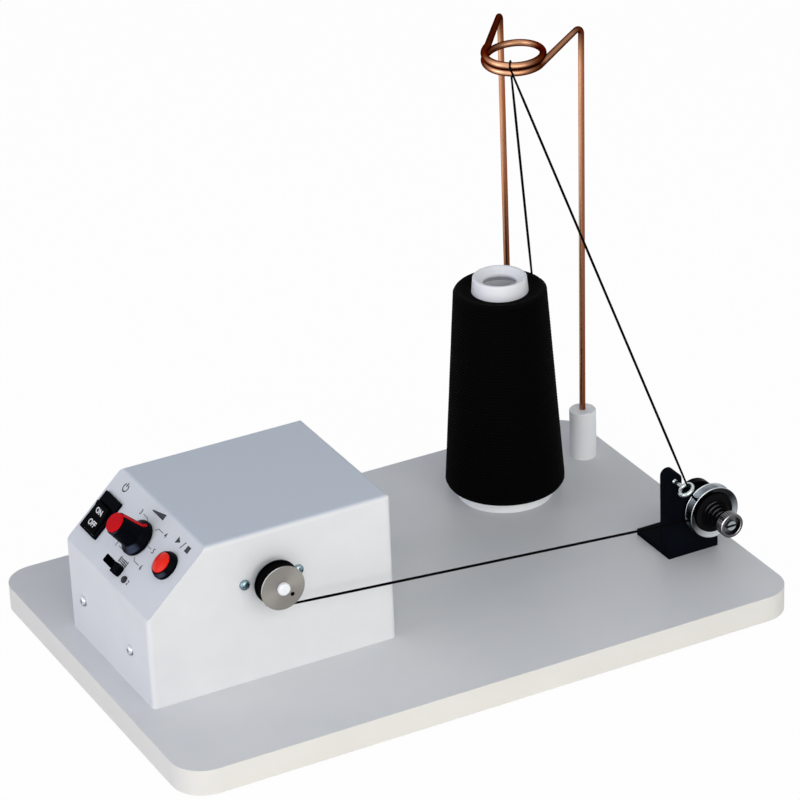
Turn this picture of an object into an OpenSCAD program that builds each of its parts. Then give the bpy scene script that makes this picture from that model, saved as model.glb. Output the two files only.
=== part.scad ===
// Electric bobbin winder on a board: control box with spindle, thread cone,
// copper thread mast and disc tensioner.
// +X runs along the board from the control box to the tensioner, +Y to the back, +Z up.
// The origin is under the middle of the board, on the surface that the feet stand on.

/* [Board] */
// Length of the board
board_l = 400; // [380:1:460]
// Depth of the board
board_d = 268; // [266:1:320]
// Thickness of the board
board_t = 16; // [14:0.5:25]
// Radius of the board's upright corners
board_r = 20; // [8:1:40]
// Height of the rubber feet
foot_h = 3; // [2:0.5:10]
// Diameter of the rubber feet
foot_dia = 18; // [12:1:24]
// Distance of a foot's centre from the board's edges
foot_inset = 34; // [24:1:50]

/* [Control box] */
// Distance of the box from the board's left end
box_inset = 15; // [5:1:25]
// Length of the box
box_l = 156; // [150:1:170]
// Width of the box, front to back
box_w = 114; // [110:1:140]
// Offset of the box's middle from the board's middle line
box_y = -2; // [-10:1:10]
// Height of the box above the board
box_h = 94; // [90:1:110]
// Height of the upright wall under the sloped panel
box_lip_h = 57; // [50:1:60]
// Length of the sloped panel's footprint
slope_run = 39; // [36:1:46]
// Wall thickness of the box
wall = 3; // [2:0.25:4]
// Outer radius of the box's edges
bend_r = 3; // [1:0.5:4]
// Height of the box's screws above the board
box_screw_z = 26; // [20:1:30]
// Distance between the two screws in an end wall
box_screw_gap = 66; // [50:1:80]
// Offset of these screws from the box's middle
box_screw_shift = 3; // [0:0.5:5]
// Diameter of the box screws' heads
box_screw_head = 6.4; // [5:0.1:8]
// Thickness of the cleats inside the end walls
cleat_t = 15; // [12:1:20]

/* [Panel controls] */
// Height of the knob and button up the slope
control_rise = 30.5; // [28:0.5:33]
// Place of the speed knob along the panel
knob_y = -1; // [-4:0.5:2]
// Skirt diameter of the speed knob
knob_skirt_dia = 22.2; // [19:0.1:24]
// Diameter of the speed knob at its top
knob_top_dia = 13.8; // [12:0.1:15]
// Height of the speed knob
knob_h = 20.7; // [18:0.1:24]
// Turn of the knob's pointer from straight up the slope
pointer_turn = -20; // [-60:1:60]
// Distance of the start button from the box's front side
button_in = 18.5; // [15:0.5:21]
// Diameter of the start button's bezel
button_bezel_dia = 17.2; // [17:0.1:20]
// Height of the start button's bezel
button_bezel_h = 4.5; // [3.5:0.1:6]
// Diameter of the start button's cap
button_cap_dia = 12.7; // [11:0.1:13]
// Travel of the start button
button_travel = 2.5; // [1.5:0.1:3]
// Distance of the power rocker from the box's back side
rocker_in = 14.5; // [14:0.5:17]
// Height of the power rocker's middle up the slope
rocker_rise = 25; // [22:0.5:28]
// Width of the power rocker's bezel
rocker_w = 20.4; // [19:0.1:24]
// Length of the power rocker's bezel up the slope
rocker_l = 26; // [25:0.1:30]
// Tilt of the rocker's two halves against its flat
rocker_tilt = 7; // [5:0.5:9]
// Place of the fill switch's slot along the panel
slide_y = 3.4; // [0:0.2:6]
// Height of the fill switch's slot up the slope
slide_rise = 9.5; // [9:0.25:10]
// Length of the fill switch's slot
slot_l = 23; // [21:0.1:26]
// Width of the fill switch's slot
slot_w = 5; // [4.5:0.1:5.5]
// Length of the sliding knob
slider_l = 6; // [5:0.1:8]
// Width of the sliding knob's head
slider_head_w = 6.4; // [6:0.1:7]
// Travel of the sliding knob
slide_travel = 10; // [6:0.5:12]
// Diameter of the lamp's lens
lamp_dia = 4.4; // [3:0.1:5]

/* [Motor and bobbin] */
// Distance of the spindle from the box's left end
spindle_in = 78; // [72:0.5:85]
// Height of the spindle above the board
spindle_z = 63.4; // [58:0.1:66]
// Diameter of the motor
motor_dia = 42; // [38:0.5:44]
// Length of the motor
motor_l = 58; // [45:1:64]
// Distance between the two motor screws
motor_screw_gap = 34; // [30:0.5:36]
// Diameter of the motor shaft
shaft_dia = 5; // [4:0.1:6]
// Outer diameter of the bobbin
bobbin_dia = 27.2; // [22:0.1:30]
// Width of the bobbin over its flanges
bobbin_w = 9.5; // [8:0.1:12]
// Thickness of a bobbin flange
flange_t = 0.8; // [0.6:0.1:1.2]
// Diameter of the bobbin's bore
bobbin_bore = 7.9; // [7:0.1:8.5]
// Gap between the box and the bobbin
bobbin_gap = 6; // [5:0.25:9]
// Diameter of the small hole in a bobbin flange
flange_hole = 2.6; // [1.5:0.1:3]

/* [Thread] */
// Diameter of the running thread
thread_dia = 1.2; // [0.9:0.05:1.3]
// Diameter of the thread drawn on the bobbin
bobbin_thread_dia = 0.8; // [0.5:0.05:0.8]
// Loops of the bobbin's outer layer
bobbin_loops = 5; // [3:1:5]
// Loops of the cone's outer layer
cone_loops = 22; // [12:1:23]

/* [Cone] */
// Distance of the cone from the board's right end
cone_in = 86.5; // [86:0.5:95]
// Place of the cone across the board
cone_y = 64.5; // [60:0.5:70]
// Height of the cone's tube
tube_h = 148; // [145:1:150]
// Radius of the tube's foot
tube_foot_r = 30; // [28:0.25:31]
// Radius of the tube's top
tube_top_r = 16.6; // [15:0.1:18]
// Wall thickness of the tube
tube_wall = 2.6; // [1.5:0.1:3.5]
// Radius of the hole in the tube's mouth
mouth_r = 10.4; // [9:0.1:12]
// Depth of that hole below the tube's top
mouth_drop = 3.6; // [2:0.1:5]
// Height of the thread's lower edge above the board
wound_low = 8; // [6:0.5:12]
// Height of the thread's upper edge above the board
wound_high = 141; // [132:0.5:142]
// Radius of the thread at its lower edge
wound_foot_r = 37.5; // [35:0.25:39]
// Radius of the thread at its upper edge
wound_top_r = 28.7; // [27:0.1:30]
// Radius of the thread's rounded upper shoulder
shoulder_r = 2; // [1.5:0.5:4]
// Depth of the hollow in the thread's upper face
wound_dip = 2.5; // [1:0.1:4]
// Diameter of the cone's peg
peg_dia = 12; // [8:0.5:20]
// Height of the cone's peg
peg_h = 95; // [60:1:120]

/* [Mast] */
// Distance of the right post from the board's right end
post_right_in = 20.5; // [15:0.5:24]
// Place of the right post across the board
post_right_y = 81; // [76:0.5:86]
// Distance of the left post from the board's right end
post_left_in = 48; // [44:0.5:52]
// Place of the left post across the board
post_left_y = 125; // [120:0.5:126]
// Diameter of the posts
post_dia = 16.9; // [12:0.1:17.5]
// Height of the posts
post_h = 32.7; // [25:0.1:40]
// Diameter of the copper wire
wire_dia = 3.8; // [2.8:0.1:4]
// Depth of the wire in its post
wire_seat = 20; // [12:1:22]
// Height of the wire's tops above the board
mast_h = 291.4; // [280:0.2:310]
// Lean of the right leg to the right, over its whole height
mast_lean = 3.6; // [0:0.2:5]
// Bend radius of the wire at its tops
mast_bend_r = 3.4; // [3:0.1:6]
// Radius of the coil at the middle of the wire
coil_r = 17.7; // [16:0.1:19]
// Reach of the coil's middle from the line of the posts
coil_reach = 31; // [28:0.5:36]
// Drop of the coil below the wire's tops
coil_drop = 9.6; // [8:0.1:13]
// Climb of the coil in one turn
coil_pitch = 4.5; // [4.4:0.05:5]
// Rise of the coil's side at the posts above its middle
coil_tilt = 1.7; // [0:0.1:3]

/* [Tensioner] */
// Distance of the tension stud from the board's right end
tension_in = 19.6; // [19:0.2:22]
// Height of the tension stud above the board
tension_z = 28.8; // [26:0.2:30]
// Place of the bracket's front face across the board
bracket_y = -64; // [-65:0.5:-63]
// Distance of the bracket's left edge from the board's right end
bracket_in = 46; // [45:0.5:48]
// Width of the bracket
bracket_w = 34.5; // [33:0.5:40]
// Height of the bracket's plate
plate_h = 38; // [36:0.5:40]
// Thickness of the bracket's plate
plate_t = 9.8; // [7:0.1:11]
// Depth of the bracket's foot
foot_depth = 37; // [30:0.5:45]
// Thickness of the bracket's foot
foot_t = 4; // [3:0.1:6]
// Width of the bracket's ear
ear_w = 9.2; // [8:0.1:11]
// Height of the bracket's ear
ear_h = 57.2; // [56:0.1:62]
// Diameter of the tension discs
disc_dia = 33; // [30:0.5:36]
// Sheet thickness of the tension discs
disc_t = 0.9; // [0.6:0.05:1.2]
// Flare of a tension disc from its middle to its rim
disc_flare = 2.2; // [1.2:0.1:2.6]
// Thickness of the spacer behind the discs
spacer_t = 4.1; // [3.5:0.1:6]
// Diameter of the black pad in the front disc
pad_dia = 25; // [20:0.5:26]
// Thickness of the black pad
pad_t = 1.6; // [1.5:0.1:3]
// Length of the cone spring
spring_l = 11.6; // [9:0.1:13]
// Wire diameter of the cone spring
spring_wire = 1.4; // [1:0.1:1.5]
// Curls of the cone spring
spring_curls = 4; // [3:1:5]
// Diameter of the stud
stud_dia = 6; // [5:0.1:6.4]
// Diameter of the knurled nut
nut_dia = 15.4; // [14:0.1:18]
// Length of the knurled nut
nut_l = 6; // [5:0.1:8]
// Diameter of the bush behind the bracket
bush_dia = 25; // [20:0.5:26]
// Thickness of the bush behind the bracket
bush_t = 5.7; // [4:0.1:8]
// Radius of the screw eye's ring at the middle of its wire
eye_r = 4.2; // [3.8:0.1:5]
// Wire diameter of the screw eye
eye_wire = 2.5; // [2:0.1:2.8]
// Distance of the screw eye's middle from the plate
eye_reach = 12.2; // [10:0.1:14]
// Height of the screw eye above the board
eye_z = 51.9; // [50:0.1:53]

/* [Hidden] */

$fn = 64;
// Clearance of a fixed fit, on the radius
fit = 0.05;
// Clearance of a running fit, on the radius
run_fit = 0.1;
// Clearance between moving neighbours
gap = 0.3;
// Overshoot of a cut
eps = 0.5;

deck = foot_h + board_t;
box_x0 = -board_l / 2 + box_inset;
box_y0 = box_y - box_w / 2;
box_y1 = box_y + box_w / 2;
panel_a = atan((box_h - box_lip_h) / slope_run);
rocker_y = box_w / 2 - rocker_in;
button_y = button_in - box_w / 2;

cone_x = board_l / 2 - cone_in;
tension_x = board_l / 2 - tension_in;
bracket_x = board_l / 2 - bracket_in;

screw_dia = 3.5;
box_screw_dia = 3;
box_screw_l = wall + cleat_t - 2;
box_screw_ys = [for (side = [-1, 1]) box_y + box_screw_shift + side * box_screw_gap / 2];
cleat_w = box_w - 2 * wall - 16;
cleat_h = box_screw_z + 10;
cleat_screw_in = 8;
cleat_xs = [box_x0 + wall, box_x0 + box_l - wall - cleat_t];

spindle_x = box_x0 + spindle_in;
motor_boss_dia = 16;
motor_screw_dia = 4;
motor_screw_head = 6.3;
motor_screw_l = wall + 8;
motor_boss_l = wall;
shaft_in = 24;
shaft_out = bobbin_gap + bobbin_w - 1;
seat_dia = 15;
seat_l = bobbin_gap - 2;
tip_l = 2.6;
hub_dia = bobbin_bore + 2.4;
bobbin_r = bobbin_dia / 2;
wound_r = bobbin_r - 0.8;
bobbin_core_r = (wound_r - bobbin_thread_dia) * cos(7.5) - fit;
disc_gap = thread_dia + 2 * run_fit;
thread_y = bracket_y - spacer_t - disc_t - disc_gap / 2;

disc_flat_r = disc_dia / 2 * 0.45;
rear_disc_z = spacer_t;
front_disc_z = rear_disc_z + 2 * disc_t + disc_gap;
pad_z = front_disc_z;
spring_z = pad_z + pad_t;
nut_z = spring_z + spring_l;
nut_collar_dia = 9.4;
nut_collar_l = 2.6;
nut_recess = 3;
stud_end = nut_z + nut_collar_l + nut_l - 0.6;
spring_r0 = 9;
spring_r1 = nut_collar_dia / 2 - spring_wire / 2;
eye_x = bracket_x + ear_w / 2;
eye_tilt = 31;

winding_dia = thread_dia;
tube_slope = (tube_foot_r - tube_top_r) / tube_h;
wound_slope = (wound_foot_r - wound_top_r) / (wound_high - wound_low);
core_inset = winding_dia + wound_foot_r * (1 - cos(7.5)) + fit;

post_left = [board_l / 2 - post_left_in, post_left_y];
post_right = [board_l / 2 - post_right_in, post_right_y];

function unit(v) = v / norm(v);
function turned(a) = [cos(a), sin(a)];
function tube_r(h) = tube_foot_r - tube_slope * h;
function wound_r_at(h) = wound_foot_r - wound_slope * (h - wound_low);

// Points of a rounded corner at b, between a and c
function corner(a, b, c, r, steps = 8) =
    let (
        u = unit(a - b),
        v = unit(c - b),
        half = acos(u * v) / 2,
        middle = b + unit(u + v) * r / sin(half),
        start = b + u * r / tan(half) - middle,
        stop = b + v * r / tan(half) - middle,
        from = atan2(start[1], start[0]),
        swing = atan2(start[0] * stop[1] - start[1] * stop[0], start * stop)
    )
    [for (i = [0:steps]) middle + r * turned(from + swing * i / steps)];

// A closed outline whose corners have the radii given with them
function rounded(points, radii) =
    let (n = len(points))
    [for (i = [0:n - 1]) each
        radii[i] > 0
            ? corner(points[(i + n - 1) % n], points[i], points[(i + 1) % n], radii[i])
            : [points[i]]];

// Direction of a path at point i
function heading(path, i) =
    unit(path[min(i + 1, len(path) - 1)] - path[max(i - 1, 0)]);

// One side direction for each point of a path, carried along without twist
function sides(path, first) =
    [for (i = 0, u = first; i < len(path);
          i = i + 1,
          u = i < len(path) ? unit(u - (u * heading(path, i)) * heading(path, i)) : u) u];

// A wound path with one straight diameter added at each end
function with_ends(path, dia) =
    let (n = len(path))
    concat(
        [path[0] - dia * heading(path, 0)],
        path,
        [path[n - 1] + dia * heading(path, n - 1)]
    );

// Least gap of a wound tube to itself, from the points of its middle line
function least_gap(path, per_loop, dia) =
    min([for (i = [0:len(path) - 1], j = [i + per_loop / 2:1:len(path) - 1])
        norm(path[i] - path[j])]) - dia;

// A round tube along a path
module tube_along(path, dia, count) {
    n = len(path);
    t0 = heading(path, 0);
    first = unit(cross(t0, abs(t0[2]) < 0.9 ? [0, 0, 1] : [1, 0, 0]));
    side = sides(path, first);
    points = [for (i = [0:n - 1], k = [0:count - 1])
        let (u = side[i], v = cross(heading(path, i), u), a = 360 * k / count)
        path[i] + dia / 2 * (cos(a) * u + sin(a) * v)];
    skin = [for (i = [0:n - 2], k = [0:count - 1])
        let (a = i * count + k, b = i * count + (k + 1) % count)
        each [[a, a + count, b], [b, a + count, b + count]]];
    caps = [for (k = [1:count - 2]) each
        [[0, k, k + 1], [(n - 1) * count, (n - 1) * count + k + 1, (n - 1) * count + k]]];
    polyhedron(points, concat(skin, caps));
}

module round_rect(l, w, r) {
    square([l - 2 * r, w], center = true);
    square([l, w - 2 * r], center = true);
    for (x = [-1, 1], y = [-1, 1]) translate([x * (l / 2 - r), y * (w / 2 - r)]) circle(r);
}

module block(l, w, h, r) {
    linear_extrude(h) round_rect(l, w, r);
}

module ring(outer, inner, h) {
    difference() {
        cylinder(d = outer, h = h);
        translate([0, 0, -eps]) cylinder(d = inner, h = h + 2 * eps);
    }
}

// Screw along -Z: head with a cross recess on top of z = 0, shank below
module screw(head, head_h, dia, l) {
    difference() {
        rotate_extrude() {
            translate([0, -l]) square([dia / 2, l]);
            polygon(rounded([[0, 0], [head / 2, 0], [head / 2, head_h], [0, head_h]],
                            [0, 0, head_h * 0.8, 0]));
        }
        for (a = [0, 90])
            rotate([0, 0, a]) translate([0, 0, head_h]) cube([dia, dia * 0.2, head_h], center = true);
    }
}

// Countersunk screw along -Z, its head flush with z = 0
module flat_screw(head, dia, l) {
    rotate_extrude() polygon([
        [0, 0], [head / 2, 0], [dia / 2, -(head - dia) / 2], [dia / 2, -l], [0, -l]
    ]);
}

// Frame of the sloped panel: x up the slope, y along the panel, z outwards
module at_panel(rise, y) {
    translate([box_x0, box_y + y, deck + box_lip_h]) rotate([0, -panel_a, 0])
        translate([rise, 0, 0]) children();
}

// Frame on the box's front side: z runs out of the wall along the spindle
module at_spindle() {
    translate([spindle_x, box_y0, deck + spindle_z]) rotate([90, 0, 0]) children();
}

// Frame on the bracket's front face: z runs out along the stud
module at_tension() {
    translate([tension_x, bracket_y, deck + tension_z]) rotate([90, 0, 0]) children();
}

module at_cone() {
    translate([cone_x, cone_y, deck]) children();
}

// Frames of the box screws: z runs out of the end walls
module at_box_screws(extra) {
    for (y = box_screw_ys) {
        translate([box_x0 - extra, y, deck + box_screw_z]) rotate([0, -90, 0]) children();
        translate([box_x0 + box_l + extra, y, deck + box_screw_z]) rotate([0, 90, 0]) children();
    }
}

// Frames of the screws under the board: z points down, out of the board's underside
base_screw_spots = concat(
    [post_left, post_right, [cone_x, cone_y]],
    [for (x = cleat_xs, side = [-1, 1]) [x + cleat_t / 2, box_y + side * (cleat_w / 2 - cleat_screw_in)]]
);
base_screw_head = 7;
base_screw_l = board_t + 9;

module at_base_screws() {
    for (p = base_screw_spots)
        translate([p[0], p[1], foot_h]) mirror([0, 0, 1]) children();
}

// Board, feet and screws under it
module base_board() {
    color("whitesmoke") difference() {
        translate([0, 0, foot_h]) block(board_l, board_d, board_t, board_r);
        at_base_screws() {
            translate([0, 0, -board_t - eps]) cylinder(d = screw_dia + 2 * fit, h = board_t + 2 * eps);
            translate([0, 0, -(base_screw_head - screw_dia) / 2 - fit])
                cylinder(d1 = screw_dia + 2 * fit, d2 = base_screw_head + 4 * fit,
                         h = (base_screw_head - screw_dia) / 2 + 2 * fit);
        }
        for (p = bracket_screw_spots)
            translate([p[0], p[1], deck - bracket_screw_l])
                cylinder(d = screw_dia + 2 * fit, h = bracket_screw_l + eps);
    }
}

module rubber_feet() {
    color("dimgray")
        for (x = [-1, 1], y = [-1, 1])
            translate([x * (board_l / 2 - foot_inset), y * (board_d / 2 - foot_inset), 0])
                rotate_extrude() polygon(rounded(
                    [[0, 0], [foot_dia / 2 - 1, 0], [foot_dia / 2, foot_h], [0, foot_h]],
                    [0, 0.8, 0, 0]));
}

module base_screws() {
    color("silver") at_base_screws() flat_screw(base_screw_head, screw_dia, base_screw_l);
}

// Control box
box_outline = [[0, 0], [0, box_lip_h], [slope_run, box_h], [box_l, box_h], [box_l, 0]];
box_bends = [0, bend_r, bend_r, bend_r, 0];
lip_drop = wall * tan(panel_a / 2);
cavity_outline = [
    [wall, -eps],
    [wall, box_lip_h - lip_drop],
    [slope_run + wall * tan(panel_a / 2), box_h - wall],
    [box_l - wall, box_h - wall],
    [box_l - wall, -eps]
];

module box_side(outline, w) {
    translate([box_x0, box_y + w / 2, deck]) rotate([90, 0, 0]) linear_extrude(w) polygon(outline);
}

module box_form() {
    reach = 2 * (box_l + box_h);
    intersection() {
        box_side(rounded(box_outline, box_bends), box_w);
        translate([box_x0 + box_l / 2, box_y, deck]) block(box_l, box_w, box_h, bend_r);
        translate([box_x0 - eps, box_y, deck]) rotate([90, 0, 90])
            linear_extrude(box_l + 2 * eps) round_rect(box_w, 2 * box_h, bend_r);
        at_panel(-reach / 2, 0) rotate([90, 0, 90])
            linear_extrude(reach) round_rect(box_w, 2 * reach, bend_r);
    }
}

module control_housing() {
    color("white") difference() {
        box_form();
        box_side(cavity_outline, box_w - 2 * wall);
        at_panel(rocker_rise, rocker_y) translate([0, 0, -wall - eps])
            block(rocker_hole_l, rocker_hole_w, wall + 2 * eps, 0.8);
        at_panel(control_rise, knob_y) translate([0, 0, -wall - eps])
            cylinder(d = pot_bush_dia + 2 * fit, h = wall + 2 * eps);
        at_panel(control_rise, button_y) translate([0, 0, -wall - eps])
            cylinder(d = button_barrel_dia + 2 * fit, h = wall + 2 * eps);
        at_panel(slide_rise, slide_y) translate([0, 0, -wall - eps])
            block(slot_w, slot_l, wall + 2 * eps, 0.8);
        at_panel(lamp_rise, lamp_y) translate([0, 0, -wall - eps])
            cylinder(d = lamp_dia + 2 * fit, h = wall + 2 * eps);
        at_spindle() translate([0, 0, -wall - eps])
            cylinder(d = motor_boss_dia + 2 * fit, h = wall + 2 * eps);
        at_spindle() for (x = [-1, 1]) translate([x * motor_screw_gap / 2, 0, -wall - eps])
            cylinder(d = motor_screw_dia + 2 * fit, h = wall + 2 * eps);
        at_box_screws(0) translate([0, 0, -wall - eps])
            cylinder(d = box_screw_dia + 2 * fit, h = wall + 2 * eps);
        at_inlet() translate([0, 0, -wall - eps])
            cylinder(d = inlet_dia + 2 * fit, h = wall + 2 * eps);
    }
}

module housing_cleats() {
    color("burlywood") difference() {
        for (x = cleat_xs)
            translate([x + cleat_t / 2, box_y, deck]) block(cleat_t, cleat_w, cleat_h, 1);
        at_box_screws(0) translate([0, 0, -box_screw_l - eps])
            cylinder(d = box_screw_dia + 2 * fit, h = box_screw_l);
        at_base_screws() translate([0, 0, -base_screw_l - eps])
            cylinder(d = screw_dia + 2 * fit, h = base_screw_l);
    }
}

module housing_screws() {
    color("gainsboro") at_box_screws(0) screw(box_screw_head, 2, box_screw_dia, box_screw_l);
}

// Power rocker
rocker_hole_l = rocker_l - 2.6;
rocker_hole_w = rocker_w - 2.4;
rocker_bezel_h = 1.8;
rocker_body_h = 17;
paddle_l = 17.4;
paddle_w = rocker_w - 5.4;
paddle_shift = -2.8;
paddle_pivot = 1;
paddle_pin_dia = 2.4;
paddle_under = 2.4;

module rocker_body() {
    window_l = paddle_l + 4 * gap;
    color("#1b1b1d") at_panel(rocker_rise, rocker_y) {
        difference() {
            union() {
                block(rocker_l, rocker_w, rocker_bezel_h, 1);
                translate([0, 0, -rocker_body_h])
                    block(rocker_hole_l - 2 * fit, rocker_hole_w - 2 * fit, rocker_body_h, 0.6);
                for (x = [-6, 0, 6]) translate([x, 0, -rocker_body_h - 6])
                    linear_extrude(6 + fit) square([0.8, 4.8], center = true);
            }
            translate([paddle_shift, 0, -6])
                block(window_l, paddle_w + 2 * gap, 6 + rocker_bezel_h + eps, 0.4);
            translate([paddle_shift, 0, paddle_pivot]) rotate([90, 0, 0])
                cylinder(d = paddle_pin_dia + 2 * run_fit, h = paddle_w + 2.4, center = true);
        }
    }
}

// The paddle rests with its lower half pressed in
module rocker_paddle() {
    rise = paddle_l / 2 * tan(rocker_tilt);
    top = 1.4;
    color("#101012") at_panel(rocker_rise, rocker_y)
        translate([paddle_shift, 0, paddle_pivot]) rotate([0, -rocker_tilt, 0]) {
            rotate([90, 0, 0]) linear_extrude(paddle_w, center = true) polygon(rounded([
                [-paddle_l / 2, -paddle_under], [-paddle_l / 2, top + rise], [0, top],
                [paddle_l / 2, top + rise], [paddle_l / 2, -paddle_under], [0, -2 * paddle_under]
            ], [1, 0.6, 0, 0.6, 1, 2]));
            rotate([90, 0, 0]) cylinder(d = paddle_pin_dia, h = paddle_w + 2, center = true);
        }
}

// Speed knob, its potentiometer and nut
pot_bush_dia = 7;
pot_bush_h = 5;
pot_body_dia = 17;
pot_body_h = 9;
pot_shaft_dia = 6;
pot_nut_flats = 10;
pot_nut_h = 2.2;
knob_lift = 0.6;
knob_skirt_h = 2.2;
knob_neck_r = (knob_skirt_dia + knob_top_dia) / 4 - 0.8;
knob_neck_h = 6;
pointer_w = 2.2;
pointer_low = knob_lift + knob_skirt_h + 1.2;
pointer_end_r = knob_neck_r + (knob_skirt_dia / 2 - knob_neck_r) * (knob_neck_h - pointer_low)
    / (knob_neck_h - knob_lift - knob_skirt_h);
cap_t = 1.4;
cap_dia = knob_top_dia - 1.4;
shaft_top = knob_lift + knob_h - 4;

module speed_knob() {
    top = knob_lift + knob_h - cap_t;
    color("#19191b") at_panel(control_rise, knob_y) difference() {
        rotate_extrude() polygon(rounded([
            [0, knob_lift], [knob_skirt_dia / 2, knob_lift],
            [knob_skirt_dia / 2, knob_lift + knob_skirt_h], [knob_neck_r, knob_neck_h],
            [knob_top_dia / 2, top], [0, top]
        ], [0, 0, 0.6, 3, 0.8, 0]));
        translate([0, 0, knob_lift - eps])
            cylinder(d = pot_nut_flats / cos(30) + 2, h = pot_bush_h + 1 + eps);
        cylinder(d = pot_shaft_dia + 2 * fit, h = shaft_top + fit);
        rotate([0, 0, pointer_turn]) translate([0, -pointer_w / 2 - fit, pointer_low - fit])
            cube([knob_skirt_dia, pointer_w + 2 * fit, knob_h]);
    }
}

// Red cap with its pointer, which runs down the side of the knob to the skirt
module knob_cap() {
    top = knob_lift + knob_h;
    inner = pot_nut_flats / 2 / cos(30) + 1 + 0.2;
    color("#d0282b") at_panel(control_rise, knob_y) difference() {
        union() {
            translate([0, 0, top - cap_t]) rotate_extrude() polygon(rounded(
                [[0, 0], [cap_dia / 2, 0], [cap_dia / 2, cap_t], [0, cap_t]], [0, 0, 0.5, 0]));
            rotate([90, 0, pointer_turn]) linear_extrude(pointer_w, center = true) polygon([
                [inner, pointer_low], [pointer_end_r + 0.1, pointer_low], [knob_neck_r + 0.3, knob_neck_h],
                [knob_top_dia / 2 + 0.2, top - cap_t], [cap_dia / 2, top - 0.5], [inner - 2.4, top - 0.5],
                [inner - 2.4, shaft_top + 0.4], [inner, shaft_top - 2]
            ]);
        }
        cylinder(d = pot_shaft_dia + 2 * fit, h = shaft_top + fit);
    }
}

module potentiometer() {
    color("slategray") at_panel(control_rise, knob_y) difference() {
        union() {
            translate([0, 0, -wall - pot_body_h]) cylinder(d = pot_body_dia, h = pot_body_h);
            translate([0, 0, -wall]) cylinder(d = pot_bush_dia, h = wall + pot_bush_h);
            translate([-pot_body_dia / 2 - 1, 0, -wall - 3]) block(6, 14, 1.6, 0.5);
        }
        translate([0, 0, -wall - pot_body_h + 2])
            cylinder(d = pot_shaft_dia + 2 * run_fit, h = wall + pot_body_h + pot_bush_h);
    }
}

module pot_nut() {
    color("silver") at_panel(control_rise, knob_y) difference() {
        cylinder(d = pot_nut_flats / cos(30), h = pot_nut_h, $fn = 6);
        translate([0, 0, -eps]) cylinder(d = pot_bush_dia + 2 * fit, h = pot_nut_h + 2 * eps);
    }
}

module pot_shaft() {
    low = -wall - pot_body_h + 2 + run_fit;
    color("lightgray") at_panel(control_rise, knob_y)
        translate([0, 0, low]) cylinder(d = pot_shaft_dia, h = shaft_top - low);
}

// Start button
button_barrel_dia = button_cap_dia + 2.8;
button_well = 8;
button_body_h = 22;
button_nut_h = 3;
button_nut_dia = button_barrel_dia + 5;
button_dome_h = 2;
cap_skirt = 5;

module start_button_body() {
    color("#202022") at_panel(control_rise, button_y) difference() {
        union() {
            rotate_extrude() polygon(rounded([
                [0, 0], [button_bezel_dia / 2, 0], [button_bezel_dia / 2, button_bezel_h * 0.45],
                [button_cap_dia / 2 + 1, button_bezel_h], [0, button_bezel_h]
            ], [0, 0, 1, 0.3, 0]));
            translate([0, 0, -button_body_h]) cylinder(d = button_barrel_dia, h = button_body_h + fit);
            for (x = [-3.5, 3.5]) translate([x, 0, -button_body_h - 6])
                linear_extrude(6 + fit) square([0.8, 2.8], center = true);
        }
        translate([0, 0, -button_well])
            cylinder(d = button_cap_dia + 2 * run_fit, h = button_well + button_bezel_h + eps);
    }
}

module start_button_nut() {
    color("#2a2a2c") at_panel(control_rise, button_y) translate([0, 0, -wall - button_nut_h])
        difference() {
            cylinder(d = button_nut_dia, h = button_nut_h, $fn = 6);
            translate([0, 0, -eps]) cylinder(d = button_barrel_dia + 2 * fit, h = button_nut_h + 2 * eps);
        }
}

module start_button_cap() {
    r = button_cap_dia / 2;
    edge = button_bezel_h + 0.6;
    dome = (r * r + button_dome_h * button_dome_h) / (2 * button_dome_h);
    swing = asin(r / dome);
    color("#e23a2e") at_panel(control_rise, button_y) rotate_extrude() polygon(concat(
        [[0, -cap_skirt], [r, -cap_skirt]],
        [for (i = [0:10])
            [0, edge + button_dome_h - dome] + dome * turned(90 - swing * (1 - i / 10))]
    ));
}

// Fill switch and its lamp
slider_w = slot_w - 4 * run_fit;
slide_well = 3;
slider_foot = 1;
slider_h = 3.6;
slider_start = slide_y - slot_l / 2 + slider_l / 2 + gap;
lamp_y = -14.3;
lamp_rise = 8;

module fill_switch_body() {
    well_l = slot_l + slider_foot * 2;
    color("#1d1d1f") at_panel(slide_rise, slide_y) translate([0, 0, -wall - 8]) difference() {
        block(slot_w + 4.4, well_l + 1.4, 8, 0.6);
        translate([0, 0, 8 - slide_well]) block(slider_w + 2 * run_fit, well_l, slide_well + eps, 0.4);
    }
}

module fill_switch_slider() {
    color("#121214") at_panel(slide_rise, slider_start) {
        translate([0, 0, -wall - slide_well + run_fit])
            block(slider_w, slider_l, wall + slide_well - run_fit + slider_h - 1, 0.6);
        translate([0, 0, gap]) block(slider_head_w, slider_l, slider_h - gap, 0.6);
        translate([0, 0, -wall - slide_well + run_fit])
            block(slider_w, slider_l + 2 * slider_foot - 2 * gap, slide_well - 2 * run_fit, 0.4);
    }
}

module fill_lamp() {
    r = lamp_dia / 2;
    color("#2b2d33") at_panel(lamp_rise, lamp_y) {
        rotate_extrude() polygon(rounded([
            [0, -wall - 5], [r, -wall - 5], [r, r * 0.7], [0, r * 0.7]
        ], [0, 0, r * 0.6, 0]));
        translate([0, 0, -wall - 1.2]) cylinder(d = lamp_dia + 0.6, h = 1.2);
    }
}

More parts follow.
